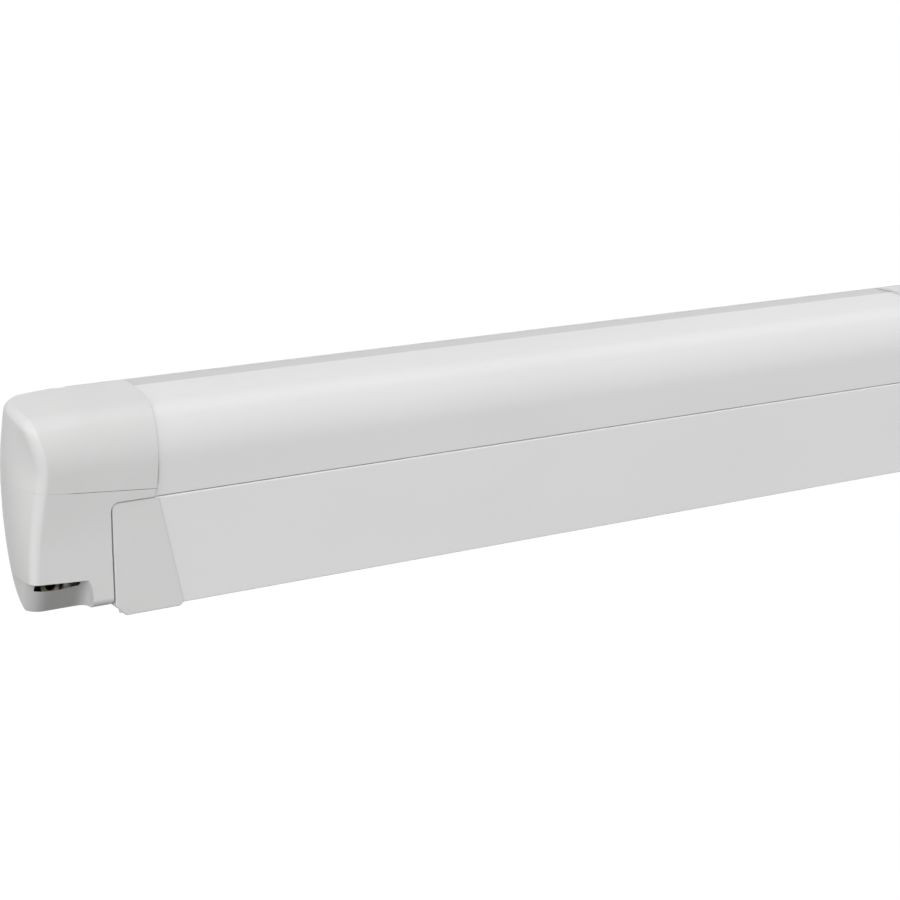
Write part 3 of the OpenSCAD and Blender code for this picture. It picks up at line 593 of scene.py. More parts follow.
@dataclass(frozen=True)
class CoatedCloth:
    """Coated awning cloth: a plain weave of warp and weft under a thin coat."""

    colour: Colour = (0.40, 0.42, 0.44)
    thread: Colour = (0.46, 0.48, 0.50)
    threads_m: float = 900.0
    roughness: float = 0.62

    def build(self, name: str) -> bpy.types.Material:
        """Makes the material on the cloth's own UV map, in metres.

        Args:
            name: its name.

        Returns:
            The material.
        """
        kit = ShaderKit(name)
        turn = 2 * math.pi * self.threads_m
        warp = (kit.axis("X", "UV") * turn).sine()
        weft = (kit.axis("Y", "UV") * turn).sine()
        weave = warp * weft * 0.5 + 0.5
        slub = kit.noise(260.0, (1, 0.05, 1), 2.0, "UV")
        cloud = kit.noise(5.0, detail=2.0, source="UV")
        share = weave * 0.45 + slub.fade(0.3, 0.7) * 0.3 + cloud * 0.25
        return kit.dress(
            Base_Color=kit.tint(share, self.colour, self.thread),
            Roughness=self.roughness + (weave - 0.5) * 0.15,
            Normal=kit.bump(weave, 0.25, 0.0002),
            Sheen_Weight=0.15,
        )


class Wardrobe:
    """Every finish of the awning, by the record's material slot."""

    def __init__(self) -> None:
        """Builds the materials once."""
        self.finishes: dict[str, bpy.types.Material] = {
            "powder_white": PowderCoat().build("powder_coat_white"),
            # The hood's flat top band gets painted shade.
            "hood_white": PowderCoat(band_edge=(-0.037, 0.079)).build("powder_coat_hood"),
            "cap_white": MouldedPlastic().build("cap_plastic_white"),
            # The winch cap's lower half carries painted shade in its crank recess and on its floor below the
            # worm.
            "winch_cap_white": MouldedPlastic(wear=CrankWear()).build("cap_plastic_winch"),
            "seal_white": SoftRubber().build("seal_rubber_pale"),
            "cast_aluminium": CastMetal().build("cast_aluminium"),
            "bare_aluminium": DrawnMetal().build("drawn_aluminium"),
            "plated_steel": DrawnMetal(
                (0.68, 0.68, 0.67), (0.52, 0.52, 0.50), 0.28, (1, 1, 0.1)).build("plated_steel"),
            "cream_nylon": MouldedPlastic(
                (0.66, 0.60, 0.48), (0.60, 0.54, 0.42), 0.45, 0.1).build("cream_nylon"),
            "dark_nylon": MouldedPlastic(
                (0.045, 0.045, 0.048), (0.03, 0.03, 0.032), 0.5, 0.2).build("dark_nylon"),
            "canopy_cloth": CoatedCloth().build("canopy_cloth"),
            "bead_plastic": MouldedPlastic((0.74, 0.74, 0.74), (0.70, 0.70, 0.70)).build("bead_plastic"),
        }

    def __getitem__(self, slot: str) -> bpy.types.Material:
        """Material of a slot."""
        return self.finishes[slot]

    def dress_nodes(self) -> None:
        """Gives every CAD node the finish of its slot in the record."""
        for part in frame["record"]["subparts"]:
            mesh = frame["nodes"][part["node"]].data
            mesh.materials.clear()
            mesh.materials.append(self[part["material_slot"]])


def normal_way(angle: float) -> np.ndarray:
    """Outward direction in Y and Z at an angle in degrees from straight up towards the front."""
    turn = math.radians(angle)
    return np.array((-math.sin(turn), math.cos(turn)))


def arc(centre: np.ndarray, radius: float, first: float, last: float, steps: int) -> list[np.ndarray]:
    """Points of an arc from its normal's first direction in degrees to its last, both ends among them."""
    return [centre + radius * normal_way(first + (last - first) * i / steps) for i in range(steps + 1)]


def rounded_corner(before: Sequence[float], corner: Sequence[float], after: Sequence[float], radius: float,
                   steps: int = 6) -> list[np.ndarray]:
    """Arc that rounds one corner of an outline.

    Args:
        before: point before the corner.
        corner: the corner.
        after: point after it.
        radius: radius of the arc.
        steps: number of segments.

    Returns:
        The arc's points.
    """
    corner = np.asarray(corner, float)
    way_in, way_out = np.asarray(before, float) - corner, np.asarray(after, float) - corner
    way_in, way_out = way_in / np.linalg.norm(way_in), way_out / np.linalg.norm(way_out)
    half = math.acos(float(np.clip(way_in @ way_out, -1, 1))) / 2
    middle = way_in + way_out
    centre = corner + middle / np.linalg.norm(middle) * radius / math.sin(half)
    first = corner + way_in * radius / math.tan(half) - centre
    last = corner + way_out * radius / math.tan(half) - centre
    mixed = [first * (steps - i) + last * i for i in range(steps + 1)]
    return [centre + radius * way / np.linalg.norm(way) for way in mixed]


def rounded_outline(corners: Sequence[tuple[float, float, float]], steps: int = 5) -> list[np.ndarray]:
    """Closed outline with each corner rounded by its own radius.

    Args:
        corners: two coordinates and a radius each; a radius of 0 keeps the corner sharp.
        steps: segments of each round.

    Returns:
        The outline's points.
    """
    points: list[np.ndarray] = []
    for i, (a, b, radius) in enumerate(corners):
        before, after = corners[i - 1], corners[(i + 1) % len(corners)]
        if radius > 0:
            points += rounded_corner(before[:2], (a, b), after[:2], radius, steps)
        else:
            points.append(np.array((a, b), float))
    return points


class Bench:
    """Where meshes are made, cut and given to a body of the frame."""

    replaced: set[str] = set()

    @staticmethod
    def piece(name: str, points: Sequence[Sequence[float]],
              faces: Sequence[Sequence[int]]) -> bpy.types.Object:
        """Makes a closed mesh object from points in millimetres.

        Args:
            name: name of the object.
            points: its corners.
            faces: its faces.

        Returns:
            The object, with merged doubles and outward faces.
        """
        mesh = bpy.data.meshes.new(name)
        mesh.from_pydata([tuple(float(x) * MM for x in p) for p in points], [], [tuple(f) for f in faces])
        work = bmesh.new()
        work.from_mesh(mesh)
        bmesh.ops.remove_doubles(work, verts=work.verts, dist=1e-7)
        bmesh.ops.recalc_face_normals(work, faces=work.faces)
        work.to_mesh(mesh)
        work.free()
        return put_in_scene(name, mesh)

    @classmethod
    def loft(cls, name: str, rings: Sequence[Sequence[Sequence[float]]]) -> bpy.types.Object:
        """Skin over rings of equal count, closed by a flat face at each end.

        Args:
            name: name of the object.
            rings: rings of points in millimetres.

        Returns:
            The object.
        """
        count = len(rings[0])
        faces: list[Sequence[int]] = [range(count), range((len(rings) - 1) * count, len(rings) * count)]
        for i in range(len(rings) - 1):
            for j in range(count):
                a, b = i * count + j, i * count + (j + 1) % count
                faces.append((a, b, b + count, a + count))
        return cls.piece(name, [p for ring in rings for p in ring], faces)

    @classmethod
    def prism(cls, name: str, outline: Sequence[Sequence[float]], low: float, high: float,
              axis: str = "X") -> bpy.types.Object:
        """Outline drawn out along an axis.

        Args:
            name: name of the object.
            outline: points in the other two coordinates, in their order in X, Y, Z.
            low: where it starts.
            high: where it ends.
            axis: X, Y or Z.

        Returns:
            The object.
        """
        slot = "XYZ".index(axis)
        rings = [[np.insert(np.asarray(p, float), slot, at) for p in outline] for at in (low, high)]
        return cls.loft(name, rings)

    @classmethod
    def rod(cls, name: str, low: float, high: float, centre: Sequence[float], radius: float, axis: str = "X",
            steps: int = 48) -> bpy.types.Object:
        """Round bar along an axis.

        Args:
            name: name of the object.
            low: where it starts.
            high: where it ends.
            centre: its middle in the other two coordinates.
            radius: its radius.
            axis: X, Y or Z.
            steps: sides.

        Returns:
            The object.
        """
        turns = [2 * math.pi * i / steps for i in range(steps)]
        outline = [(centre[0] + radius * math.cos(a), centre[1] + radius * math.sin(a)) for a in turns]
        return cls.prism(name, outline, low, high, axis)

    @classmethod
    def block(cls, name: str, low: Sequence[float], high: Sequence[float]) -> bpy.types.Object:
        """Box between two corners, used as a cutter or a plain rib."""
        plan = [(low[1], low[2]), (high[1], low[2]), (high[1], high[2]), (low[1], high[2])]
        return cls.prism(name, plan, low[0], high[0])

    @staticmethod
    def combine(made: bpy.types.Object, tool: bpy.types.Object, how: Solid) -> None:
        """Cuts, joins or keeps by another solid, which is used up.

        Args:
            made: object that changes.
            tool: the other solid.
            how: what is done.
        """
        step = made.modifiers.new("combine", "BOOLEAN")
        step.operation = how.value
        step.solver = "EXACT"
        step.object = tool
        Bench.settle(made)
        mesh = tool.data
        bpy.data.objects.remove(tool)
        bpy.data.meshes.remove(mesh)

    @staticmethod
    def settle(made: bpy.types.Object) -> None:
        """Turns an object's modifiers into plain mesh.

        Args:
            made: the object.
        """
        graph = bpy.context.evaluated_depsgraph_get()
        mesh = bpy.data.meshes.new_from_object(made.evaluated_get(graph))
        mesh.name = made.name
        old = made.data
        made.modifiers.clear()
        made.data = mesh
        bpy.data.meshes.remove(old)

    @staticmethod
    def ease(made: bpy.types.Object, width: float, angle: float = 32.0, segments: int = 2) -> None:
        """Rounds the sharp edges and smooths the rest, so that large faces stay flat beside small ones.

        Args:
            made: object to finish.
            width: width of the rounds in millimetres; 0 leaves the edges sharp.
            angle: least angle of a sharp edge in degrees.
            segments: segments of a round.
        """
        work = bmesh.new()
        work.from_mesh(made.data)
        bmesh.ops.remove_doubles(work, verts=work.verts, dist=2e-6)
        bmesh.ops.dissolve_limit(work, angle_limit=math.radians(0.3), verts=work.verts, edges=work.edges)
        work.normal_update()
        if width > 0:
            sharp = [e for e in work.edges if e.is_manifold and e.calc_face_angle(0.0) > math.radians(angle)]
            bmesh.ops.bevel(work, geom=sharp, offset=width * MM, offset_type="OFFSET", segments=segments,
                            profile=0.5, affect="EDGES", clamp_overlap=True)
        for face in work.faces:
            face.smooth = True
        for edge in work.edges:
            edge.smooth = not edge.is_manifold or edge.calc_face_angle(0.0) < math.radians(angle)
        work.to_mesh(made.data)
        work.free()
        step = made.modifiers.new("weighted", "WEIGHTED_NORMAL")
        step.keep_sharp = True
        Bench.settle(made)

    @staticmethod
    def hand_over(made: bpy.types.Object, body: str, slot: str, finish: bpy.types.Material,
                  *nodes: str) -> None:
        """Gives a finished piece to a body and says what it stands for.

        Args:
            made: the piece.
            body: body that it rides on.
            slot: material slot of the record; not used.
            finish: its material.
            nodes: CAD nodes that it replaces.
        """
        made.data.materials.clear()
        made.data.materials.append(finish)
        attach(made, body)
        if nodes:
            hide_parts(*nodes)
            Bench.replaced.update(nodes)
        LOG.info("%s: %d faces on %s", made.name, len(made.data.polygons), body)


@dataclass
class Cassette:
    """Housing extrusion: back, flat top, curved hood and floor, in millimetres."""

    end: float = 481.0
    back_y: float = -10.0
    top_z: float = 80.5
    top_flat: float = 27.0
    wall: float = 2.5
    radii: tuple[float, float] = (150.0, 20.0)
    turns: tuple[float, float, float, float] = (5.0, 18.0, 68.0, 93.5)
    lip_at: Point = (-86.711, -4.309)
    mouth: float = 88.0
    floor_depth: float = 22.0
    hook_z: float = 54.0
    hook_t: float = 3.0
    hook_drop: float = 6.0
    hook_reach: float = 5.0
    hook_lip: float = 2.0
    ledge_z: float = -48.0
    ledge_reach: float = 5.0
    port_r: float = 4.5
    port_hole_r: float = 2.0
    port_inset: float = 6.5
    bracket_x: float = 300.0
    lock_y: float = -7.5
    seal_back: float = 1.0
    seal_foot: float = 1.6
    seal_over: float = 0.8
    seal_depth: float = 1.2
    seal_w: float = 3.0
    seal_h: float = 0.6
    steps: tuple[int, int, int] = (16, 24, 28)

    def __post_init__(self) -> None:
        """Works out the hood's three circles and the flat that ends in its lower edge."""
        self.crease = np.array((self.back_y - self.top_flat, self.top_z))
        self.lip = np.array(self.lip_at)
        first = self.crease - self.radii[0] * normal_way(self.turns[0])
        second = first + (self.radii[0] - self.radii[1]) * normal_way(self.turns[1])
        begin, end = normal_way(self.turns[2]), normal_way(self.turns[3])
        start = second + self.radii[1] * begin
        ways = np.column_stack((end - begin, (-end[1], end[0])))
        radius = float(np.linalg.solve(ways, self.lip - start)[0])
        self.radii = (*self.radii, radius)
        self.centres = (first, second, start - radius * begin)
        self.floor_z = float(self.lip[1]) - self.mouth
        self.inner_y = self.back_y - self.wall
        self.seal_front = self.back_y - self.seal_back - self.seal_foot - self.seal_over

    def hood(self, inset: float) -> list[np.ndarray]:
        """Hood's curve from its crease to its lower edge, set in by a distance.

        Args:
            inset: the distance.

        Returns:
            The points in Y and Z.
        """
        points: list[np.ndarray] = []
        for i, (centre, radius, steps) in enumerate(zip(self.centres, self.radii, self.steps)):
            bend = arc(centre, radius - inset, self.turns[i], self.turns[i + 1], steps)
            points += bend[1 if points else 0:]
        last = self.lip - inset * normal_way(self.turns[3])
        return points + [points[-1] + (last - points[-1]) * i / 6 for i in range(1, 7)]

    def outline(self) -> list[np.ndarray]:
        """Section of the extrusion with its seal groove and a rounded lower edge.

        Returns:
            The points in Y and Z.
        """
        groove = self.back_y - self.seal_back
        deep = self.top_z - self.seal_depth
        outer, inner = self.hood(0), self.hood(self.wall)
        middle = (outer[-1] + inner[-1]) / 2
        way = (outer[-1] - inner[-1]) / 2
        down = np.array((way[1], -way[0]))
        if down[1] > 0:
            down = -down
        lip = [middle + way * math.cos(a) + down * 0.5 * math.sin(a)
               for a in (math.pi * i / 8 for i in range(1, 8))]
        floor = self.floor_z
        front = self.inner_y - self.floor_depth
        return [np.array(p, float) for p in (
            (self.back_y, floor), (self.back_y, self.top_z), (groove, self.top_z), (groove, deep),
            (groove - self.seal_foot, deep), (groove - self.seal_foot, self.top_z), *outer, *lip,
            *reversed(inner), (self.inner_y, self.top_z - self.wall), (self.inner_y, floor + self.wall),
            (front, floor + self.wall), (front, floor))]

    def ports(self) -> list[np.ndarray]:
        """Middles of the three screw ports.

        Returns:
            The points in Y and Z.
        """
        back = self.inner_y - self.port_inset
        corner = self.centres[1] + (self.radii[1] - self.wall - self.port_r + 0.5) * normal_way(45)
        return [np.array((back, self.top_z - self.wall - self.port_inset)), corner,
                np.array((back, self.floor_z + self.wall + self.port_inset))]

    def extrusion(self) -> bpy.types.Object:
        """Builds the extrusion with its screw ports, hook rail and ledge.

        Returns:
            The extrusion.
        """
        made = Bench.prism("housing_extrusion", self.outline(), -self.end, self.end)
        ports = self.ports()
        webs = ((ports[0], ports[0] + self.port_inset),
                (np.array((ports[2][0], self.floor_z)), ports[2] + (self.port_inset, 0)))
        for low, high in webs:
            Bench.combine(made, Bench.block("web", (-self.end, *low), (self.end, *high)), Solid.JOIN)
        for port in ports:
            Bench.combine(made, Bench.rod("port", -self.end, self.end, port, self.port_r), Solid.JOIN)
        hook_y, root = self.back_y + self.hook_reach, self.back_y - 1
        foot, top, tip = self.hook_z - self.hook_drop, self.hook_z + self.hook_t, hook_y + self.hook_lip
        rail = [(root, self.hook_z), (hook_y, self.hook_z), (hook_y, foot), (tip, foot), (tip, top),
                (root, top)]
        Bench.combine(made, Bench.prism("hook", rail, -self.end, self.end), Solid.JOIN)
        ledge = Bench.block("ledge", (-self.end, root, self.ledge_z),
                            (self.end, self.back_y + self.ledge_reach, self.ledge_z + self.hook_t))
        Bench.combine(made, ledge, Solid.JOIN)
        for port in ports:
            hole = Bench.rod("hole", -self.end - 1, self.end + 1, port, self.port_hole_r, steps=24)
            Bench.combine(made, hole, Solid.CUT)
        for x in (-self.bracket_x, self.bracket_x):
            hole = Bench.rod("lock", self.ledge_z - 1, self.ledge_z + self.hook_t + 1, (x, self.lock_y),
                             self.port_hole_r, "Z", 24)
            Bench.combine(made, hole, Solid.CUT)
        Bench.ease(made, 0.25)
        return made

    def seal(self) -> bpy.types.Object:
        """Builds the soft strip in the groove along the rear top edge.

        Returns:
            The strip.
        """
        groove = self.back_y - self.seal_back
        front = self.seal_front
        half = self.seal_w / 2
        foot, deep = groove - self.seal_foot + 0.05, self.top_z - self.seal_depth
        crown = [(front + half + half * math.cos(a), self.top_z + (self.seal_h - 0.2) * math.sin(a) + 0.2)
                 for a in (math.pi * i / 12 for i in range(13))]
        heel = groove - 0.05
        outline = [(heel, deep), (heel, self.top_z), (front + self.seal_w, self.top_z), *crown,
                   (front, self.top_z), (foot, self.top_z), (foot, deep)]
        made = Bench.prism("rear_seal_strip", outline, -self.end, self.end)
        Bench.ease(made, 0.0)
        return made

    def build(self, wardrobe: Wardrobe) -> None:
        """Makes and dresses the extrusion and its seal.

        Args:
            wardrobe: the finishes.
        """
        Bench.hand_over(self.extrusion(), "housing", "powder_white", wardrobe["hood_white"],
                        "housing_profile")
        Bench.hand_over(self.seal(), "housing", "seal_white", wardrobe["seal_white"], "rear_seal")


@dataclass
class EndCap:
    """Moulded cap over one end of the case, in an upper and a lower half, in millimetres."""

    side: Side
    case: Cassette
    overlap: float = 49.0
    reach: float = 119.5
    bow: float = 9.5
    edge_r: float = 7.0
    wall: float = 2.0
    fit: float = 0.3
    proud: float = 1.2
    corner_r: float = 8.0
    seam_lean: float = 4.0
    parting_h: float = 7.0
    parting_rise: float = 10.0
    parting_gap: float = 0.4
    parting_stop: tuple[float, float] = (505.0, 518.0)
    peak_in: tuple[float, float] = (42.6, 9.3)
    half_h: float = 90.0
    front_fall: float = 17.0
    back_fall: float = 14.0
    back_foot: float = 9.0
    foot_bow: float = 3.5
    foot_turn: float = 3.5
    back_x: float = 490.5
    peak_shift: float = 20.0
    twist_up: float = 14.6
    twist_h: float = 95.0
    untwist: float = 0.6
    untwist_at: tuple[float, float] = (18.0, 45.0)
    front_soft: float = 8.0
    twist_soft: float = 14.0
    twist_stop: float = 1.1
    onset: float = 1.5
    top_fall: float = 5.0
    rear_tilt: float = 2.2
    rear_at: tuple[float, float] = (16.0, 15.0)
    lean_at: tuple[float, float] = (18.0, 22.0)
    fall_in: float = 8.0
    fall_up: float = 34.0
    rounds: int = 12
    rings: int = 22
    back_steps: int = 40
    nest_gap: float = 1.5
    nest_r: float = 7.5
    nest_back: float = 3.0
    rail_end: float = 470.0
    rail_cap_end: float = 3.8
    rail_back_y: float = -38.911
    recess_h: float = 26.0
    recess_in: float = 18.5
    recess_r: float = 8.0
    recess_turn: float = 13.0
    recess_ceiling: float = 1.5
    recess_foot_y: float = -70.0
    recess_tilt: float = 0.065
    recess_below: float = 9.0
    slot_x: float = 523.0
    slot_w: float = 39.0
    slot_drop: tuple[float, float, float, float] = (0.5, 7.5, 8.0, 4.8)
    screw_y: tuple[float, float] = (-57.611, -26.0)
    screw_x: float = 484.0
    screw_hole_r: float = 2.0
    pad_r: float = 2.8
    pad_top: float = 0.4
    past: float = 5.0
    far: float = 300.0

    def __post_init__(self) -> None:
        """Works out the cap's main lines from the case that it covers."""
        case = self.case
        lip_y, lip_z = (float(x) for x in case.lip)
        self.seam = case.end - self.overlap
        self.tip = self.seam + self.reach
        self.front_y = lip_y + self.fit - self.proud
        self.bottom_z = case.floor_z - self.wall - self.fit
        self.peak = (self.front_y + self.peak_in[0], lip_z + self.peak_in[1])
        self.middle = np.array(((case.back_y + self.front_y) / 2, (case.top_z + self.bottom_z) / 2))
        self.fall_x = case.end + self.fall_in
        self.fall_z = lip_z + self.fall_up
        turn = case.turns[3]
        self.sweep_r = (self.front_y + self.wall + self.fit - lip_y) / (1 - math.sin(math.radians(turn)))
        self.sweep_c = case.lip + self.sweep_r * normal_way(turn)
        self.nest_x = self.rail_end + self.rail_cap_end + self.nest_gap
        self.nest_z = lip_z - 0.1
        self.recess_x = self.nest_x + self.recess_in
        self.recess_z = self.bottom_z + self.recess_h
        edge = self.stand(np.array(self.outline(-self.fit, case.back_y)))
        self.closed_x = float(edge.min()) - self.edge_r - self.wall - 0.5

    def outline(self, inset: float, back: float) -> list[np.ndarray]:
        """Section of the cap: over the hood, down a hollow sweep to its front and round its foot.

        Args:
            inset: distance in from the case's own hood, below 0 outside it.
            back: where its back edge is.

        Returns:
            The outline.
        """
        foot = self.bottom_z + inset + self.wall + self.fit
        front = self.front_y + inset + self.wall + self.fit
        top = self.case.top_z - inset
        turn = self.case.turns[3]
        sweep = [self.sweep_c - (self.sweep_r + inset) * normal_way(turn + (90 - turn) * i / 10)
                 for i in range(1, 11)]
        bend = arc(np.array((front + self.corner_r, foot + self.corner_r)), self.corner_r, 90, 180, 14)
        hood = self.case.hood(inset)

        def line(first: Sequence[float], last: Sequence[float], steps: int,
                 skip: int = 1) -> list[np.ndarray]:
            """Points between two others, the last left out."""
            return [np.asarray(first) + (np.asarray(last) - first) * i / steps for i in range(skip, steps)]

        return [*line((back, top), (hood[0][0], top), 10, 0), *hood, *sweep,
                *line(sweep[-1], bend[0], 16), *bend, *line(bend[-1], (back, foot), 14),
                *line((back, foot), (back, top), self.back_steps, 0)]

    def stand(self, spot: np.ndarray) -> np.ndarray:
        """How far the end stands out at points of its section.

        Args:
            spot: points in Y and Z.

        Returns:
            Distance of the end from the case's middle at each point.
        """
        rise = spot[:, 1] - self.peak[1]
        low = np.clip(-rise / (self.peak[1] - self.bottom_z), 0, None) ** 2
        peak_y = self.peak[0] - self.peak_shift * low
        front = spot[:, 0] < peak_y
        depth = (spot[:, 0] - peak_y) / (np.where(front, self.front_y, self.case.back_y) - peak_y)
        depth = np.where(front, 1 - np.logaddexp(0, self.front_soft * (1 - depth)) / self.front_soft, depth)
        share = (spot[:, 1] - self.bottom_z - self.twist_up) / self.twist_h
        twist = np.logaddexp(0, self.twist_soft * share)
        twist = (twist - np.logaddexp(0, self.twist_soft * (share - self.twist_stop))) / self.twist_soft
        start, run = self.untwist_at
        twist = twist * (1 - self.untwist * np.clip((rise - start) / run, 0, 1) ** self.onset)
        fall = np.where(front, self.front_fall * twist, self.back_fall + self.back_foot * low)
        bow = np.where(rise > 0, self.bow, self.foot_bow) * (rise / self.half_h) ** 2
        bow = bow + self.foot_turn * low ** 4
        return self.tip - bow - fall * depth ** 2

    def lowered(self, points: np.ndarray) -> np.ndarray:
        """Points at their own end of the case, with the cap's top falling a little towards its end.

        Args:
            points: points of a cap with a level top, as if at the right end.

        Returns:
            The moved points.
        """
        run = np.clip(points[:, 0] - self.fall_x, 0, None) / (self.tip - self.fall_x)
        rise = np.clip(points[:, 2] - self.fall_z, 0, None) / (self.case.top_z - self.fall_z)
        rear = np.clip((points[:, 1] - self.case.back_y + self.rear_at[0]) / self.rear_at[1], 0, 1)
        fallen = points[:, 2] - (self.top_fall * run ** self.onset + self.rear_tilt * rear) * rise
        return np.column_stack((points[:, 0] * self.side.value, points[:, 1], fallen))

    def ring(self, outline: np.ndarray, inset: float, share: float, drop: float) -> np.ndarray:
        """One ring of the end.

        Args:
            outline: section of the cap.
            inset: how far the ring is set in from it, except below.
            share: how far it is then drawn in, 1 for not at all.
            drop: how far it stays behind the end's surface.

        Returns:
            The ring's points.
        """
        off = outline - self.middle
        side_y = 1 - 2 * inset / (self.case.back_y - self.front_y)
        side_z = np.where(off[:, 1] > 0, 1 - 2 * inset / (self.case.top_z - self.bottom_z), 1)
        spot = self.middle + share * np.column_stack((off[:, 0] * side_y, off[:, 1] * side_z))
        return self.lowered(np.column_stack((self.stand(spot) - drop, spot)))

    def shell(self, name: str, inset: float, back: float, starts: Sequence[float],
              wall: float) -> bpy.types.Object:
        """Closed loft from a straight start to the rounded end.

        Args:
            name: name of the object.
            inset: distance in from the hood.
            back: where its back edge is.
            starts: places of its straight rings along the case.
            wall: how far its end stays behind the cap's.

        Returns:
            The object.
        """
        outline = np.array(self.outline(inset, back))
        rings = [self.lowered(np.column_stack((np.full(len(outline), x), outline))) for x in starts]
        if starts[0] == self.seam:
            lean = np.clip((self.lean_at[0] - outline[:, 1]) / self.lean_at[1], 0, 1) ** 2 * self.seam_lean
            rings[0][:, 0] += lean * self.side.value
        for i in range(self.rounds + 1):
            turn = math.pi / 2 * i / self.rounds
            rings.append(self.ring(outline, self.edge_r * (1 - math.cos(turn)), 1.0,
                                   wall + self.edge_r * (1 - math.sin(turn))))
        for i in range(1, self.rings + 1):
            rings.append(self.ring(outline, self.edge_r, 1 - i / (self.rings + 0.4), wall))
        return Bench.loft(name, rings)

    def outside(self, name: str) -> bpy.types.Object:
        """Solid form of the whole cap."""
        starts = [self.seam, *np.linspace(self.fall_x, self.closed_x, 9)]
        return self.shell(name, -self.wall - self.fit, self.case.back_y, starts, 0.0)

    def hollow(self) -> bpy.types.Object:
        """Inside of the cap: open at the back along the case, closed behind the winch and the end.

        Returns:
            The space.
        """
        starts = list(np.linspace(self.back_x, self.closed_x - 1, 8))
        made = self.shell("hollow", -self.fit, self.case.back_y - self.wall, starts, self.wall)
        start, stop = sorted(self.side.value * x for x in (self.seam - 1, self.back_x + 1))
        channel = Bench.prism("channel", self.outline(-self.fit, self.case.back_y + 15), start, stop)
        Bench.combine(made, channel, Solid.JOIN)
        return made

    def parting(self, gap: float, out: float) -> bpy.types.Object:
        """Space on one side of the sloping parting line, to the height out; the gap closes before the end.

        Args:
            gap: how far below the line the space starts.
            out: height that it reaches.

        Returns:
            The space.
        """
        level = float(self.case.lip[1]) + self.parting_h
        first, last = self.seam - self.past, self.tip + self.past
        drops = ((first, gap), (self.parting_stop[0], gap), (self.parting_stop[1], 0.0), (last, 0.0))
        line = [(x, level + self.parting_rise * (x - self.seam) / self.reach - drop) for x, drop in drops]
        outline = [(self.side.value * x, z) for x, z in (*line, (last, out), (first, out))]
        return Bench.prism("parting", outline, -self.far, self.far, "Y")

    def nest(self, wall: float) -> bpy.types.Object:
        """Space for the lead rail's end, with a wall round it.

        Args:
            wall: wall kept round the space, 0 for none.

        Returns:
            The space.
        """
        x, first, back = self.nest_x + wall, self.seam - self.past, self.rail_back_y + self.nest_back
        plan = [*rounded_corner((x, -self.far), (x, self.nest_z), (0, self.nest_z), self.nest_r + wall, 10),
                (first, self.nest_z), (first, -self.far), (x, -self.far)]
        outline = [(self.side.value * p[0], p[1]) for p in plan]
        return Bench.prism("nest", outline, back - self.far, back, "Y")

    def ceiling(self, x: float) -> float:
        """Height of the recess's ceiling, which rises towards the end, at a distance from the middle."""
        return self.recess_z + self.recess_tilt * (x - self.recess_x)

    def recess(self, wall: float) -> bpy.types.Object:
        """Space for the crank: its wall leans back towards its foot and is rounded into front and end.

        Args:
            wall: wall kept round the space, 0 for none.

        Returns:
            The space.
        """
        x, top_y, out = self.recess_x - wall, self.front_y + self.recess_ceiling, self.tip + self.far
        rings = []
        for z in (self.bottom_z - self.recess_below, self.recess_z + wall):
            y = top_y + wall + (self.recess_foot_y - top_y) * (self.recess_z - z) / self.recess_h
            turn = self.recess_turn - wall
            edge = float(self.stand(np.array([(y + turn, max(z, self.bottom_z))]))[0]) - wall - 0.2
            plan = [(out, y + self.far), (out, -self.far), (x, -self.far),
                    *rounded_corner((x, -self.far), (x, y), (edge, y), self.recess_r + wall, 12),
                    *rounded_corner((x, y), (edge, y), (edge, y + self.far), turn, 12), (edge, y + self.far)]
            tilt = self.recess_tilt if z > self.bottom_z else 0.0
            rings.append([(self.side.value * p[0], p[1], z + tilt * (p[0] - self.recess_x)) for p in plan])
        return Bench.loft("recess", rings)

    def upper(self) -> bpy.types.Object:
        """Builds the upper half, with the notch that clears the rear seal.

        Returns:
            The upper half.
        """
        made = self.outside(f"{self.side.word}_cap_top")
        Bench.combine(made, self.parting(0, self.far), Solid.KEEP)
        Bench.combine(made, self.hollow(), Solid.CUT)
        x0, x1 = sorted(self.side.value * x for x in (self.case.end + self.fit, self.seam - self.past))
        notch = Bench.block("notch", (x0, self.case.seal_front - self.fit, self.case.top_z - self.wall),
                            (x1, self.far, self.far))
        Bench.combine(made, notch, Solid.CUT)
        return made

    def lower(self) -> bpy.types.Object:
        """Builds the lower half with its nest, and the crank recess at the winch end.

        Returns:
            The lower half.
        """
        made = self.outside(f"{self.side.word}_cap_foot")
        Bench.combine(made, self.parting(self.parting_gap, -self.far), Solid.KEEP)
        inside = self.hollow()
        Bench.combine(inside, self.nest(self.wall), Solid.CUT)
        winch = self.side is Side.LEFT
        if winch:
            Bench.combine(inside, self.recess(self.wall), Solid.CUT)
        for y in self.screw_y:
            pad = Bench.rod("pad", self.bottom_z, self.case.floor_z + self.pad_top,
                            (self.side.value * self.screw_x, y), self.pad_r, "Z", 32)
            Bench.combine(inside, pad, Solid.CUT)
        Bench.combine(made, inside, Solid.CUT)
        Bench.combine(made, self.nest(0), Solid.CUT)
        if winch:
            Bench.combine(made, self.recess(0), Solid.CUT)
            high, low, deep, end = self.slot_drop
            first, last = self.slot_x + self.slot_w / 2, self.slot_x - self.slot_w / 2
            slot = rounded_outline([(-x, self.ceiling(x) - drop, radius) for x, drop, radius in (
                (first, low, 2.0), (self.slot_x, deep, 60.0), (last, end, 1.0), (last, high, 0.8),
                (first, high, 1.0))])
            front = self.front_y + self.recess_ceiling - 1
            Bench.combine(made, Bench.prism("slot", slot, front, self.recess_foot_y, "Y"), Solid.CUT)
        for y in self.screw_y:
            hole = Bench.rod("hole", self.bottom_z - 5, self.case.floor_z + 10,
                             (self.side.value * self.screw_x, y), self.screw_hole_r, "Z", 24)
            Bench.combine(made, hole, Solid.CUT)
        return made

